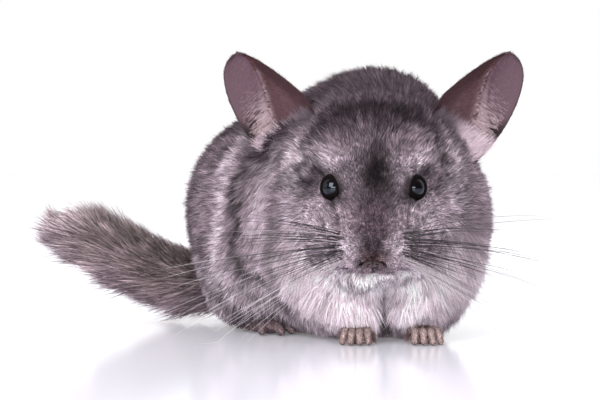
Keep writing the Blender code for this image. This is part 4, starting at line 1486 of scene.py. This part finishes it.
def make_stage():
    """A white glossy floor, white all round, soft lamps above and in front, and the camera."""
    mesh = bpy.data.meshes.new("floor")
    half = 6.0
    corners = [(-half, -half, 0), (half, -half, 0), (half, half, 0), (-half, half, 0)]
    mesh.from_pydata(corners, [], [(0, 1, 2, 3)])
    floor = added("floor", mesh)
    # Smooth white acrylic: it mirrors the feet softly, and glows a little so that it stays pale.
    material, _, _ = principled("white_acrylic", {
        "Base Color": (0.80, 0.79, 0.88, 1.0),
        "Roughness": 0.12,
        "IOR": 1.4,
        "Emission Color": (1.0, 1.0, 1.0, 1.0),
        "Emission Strength": 0.13,
    })
    mesh.materials.append(material)
    world = bpy.data.worlds.new("studio")
    world.use_nodes = True
    tree = world.node_tree
    background = tree.nodes["Background"]
    background.inputs["Color"].default_value = (1.0, 1.0, 1.0, 1.0)
    # The wall behind is bright and the room in front is dim, but the backdrop is always white.
    way = node(tree, "ShaderNodeTexCoord")
    depth = node(tree, "ShaderNodeSeparateXYZ", Vector=way.outputs["Generated"]).outputs["Y"]
    wall = {"From Min": -0.2, "From Max": 0.5, "To Min": 0.06, "To Max": 1.0}
    soft = {"From Min": -0.7, "From Max": 0.2, "To Min": 1.0, "To Max": 0.5}
    seen = node(tree, "ShaderNodeMapRange", wall, Value=depth).outputs["Result"]
    ray = node(tree, "ShaderNodeLightPath")
    lit = node(tree, "ShaderNodeMapRange", soft, Value=depth).outputs["Result"]
    room = node(tree, "ShaderNodeMix", Factor=ray.outputs["Is Diffuse Ray"], A=seen, B=lit)
    shown = node(tree, "ShaderNodeMath", {"operation": "MAXIMUM"})
    tree.links.new(room.outputs["Result"], shown.inputs[0])
    tree.links.new(ray.outputs["Is Camera Ray"], shown.inputs[1])
    tree.links.new(shown.outputs["Value"], background.inputs["Strength"])
    bpy.context.scene.world = world
    lamps = {
        "key_softbox": ((-0.32, -0.90, 0.65), 0.66, 0.72, 9.9),
        "low_softbox": ((0.0, -1.1, 0.2), 0.7, 0.2, 3.5),
        "fill_softbox": ((-0.9, -0.3, 0.4), 0.5, 0.6, 0.8),
        "top_softbox": ((0.1, 0.3, 1.0), 0.9, 0.7, 2.0),
        "back_softbox": ((0.3, 1.1, 0.7), 0.9, 0.6, 7.0),
    }
    for name, (place, width, height, power) in lamps.items():
        lamp = bpy.data.lights.new(name, "AREA")
        lamp.shape = "RECTANGLE"
        lamp.size, lamp.size_y, lamp.energy = width, height, power
        holder = added(name, lamp)
        holder.location = place
        aim = Vector((0.03, 0.0, 0.06)) - Vector(place)
        holder.rotation_euler = aim.to_track_quat("-Z", "Y").to_euler()
    lens = bpy.data.cameras.new("camera")
    lens.lens, lens.sensor_width = 133.33, 36.0
    camera = added("camera", lens)
    camera.location = Vector(ORIGIN) + Vector((-33.525, -1000.0, 90.0)) * MM
    camera.rotation_euler = (math.radians(90 - 1.392), 0.0, 0.0)
    bpy.context.scene.camera = camera
    bpy.context.scene.view_settings.view_transform = "Standard"


make_stage()
skin = make_skin()
make_coat(skin)
for name, side in SIDES.items():
    make_ear(name, side)
    for seed, part in enumerate(EAR_HAIR):
        ear_hair(name, side, part, 400 + seed + side)
    make_eye(name, side)
    make_lids(name, side)
    turn = math.radians(FOREPAW_TURN[name])
    make_paw("forepaw", name, FOREPAWS[name], FOREPAW_SIZE, turn, FINGERS)
    hind = from_hips(side * HIND_ACROSS, HIND_ALONG, 0)
    make_paw("hindfoot", name, hind, HIND_FOOT_SIZE, BODY_YAW, HIND_TOES)
    make_whiskers(skin, name, side)
make_nose()
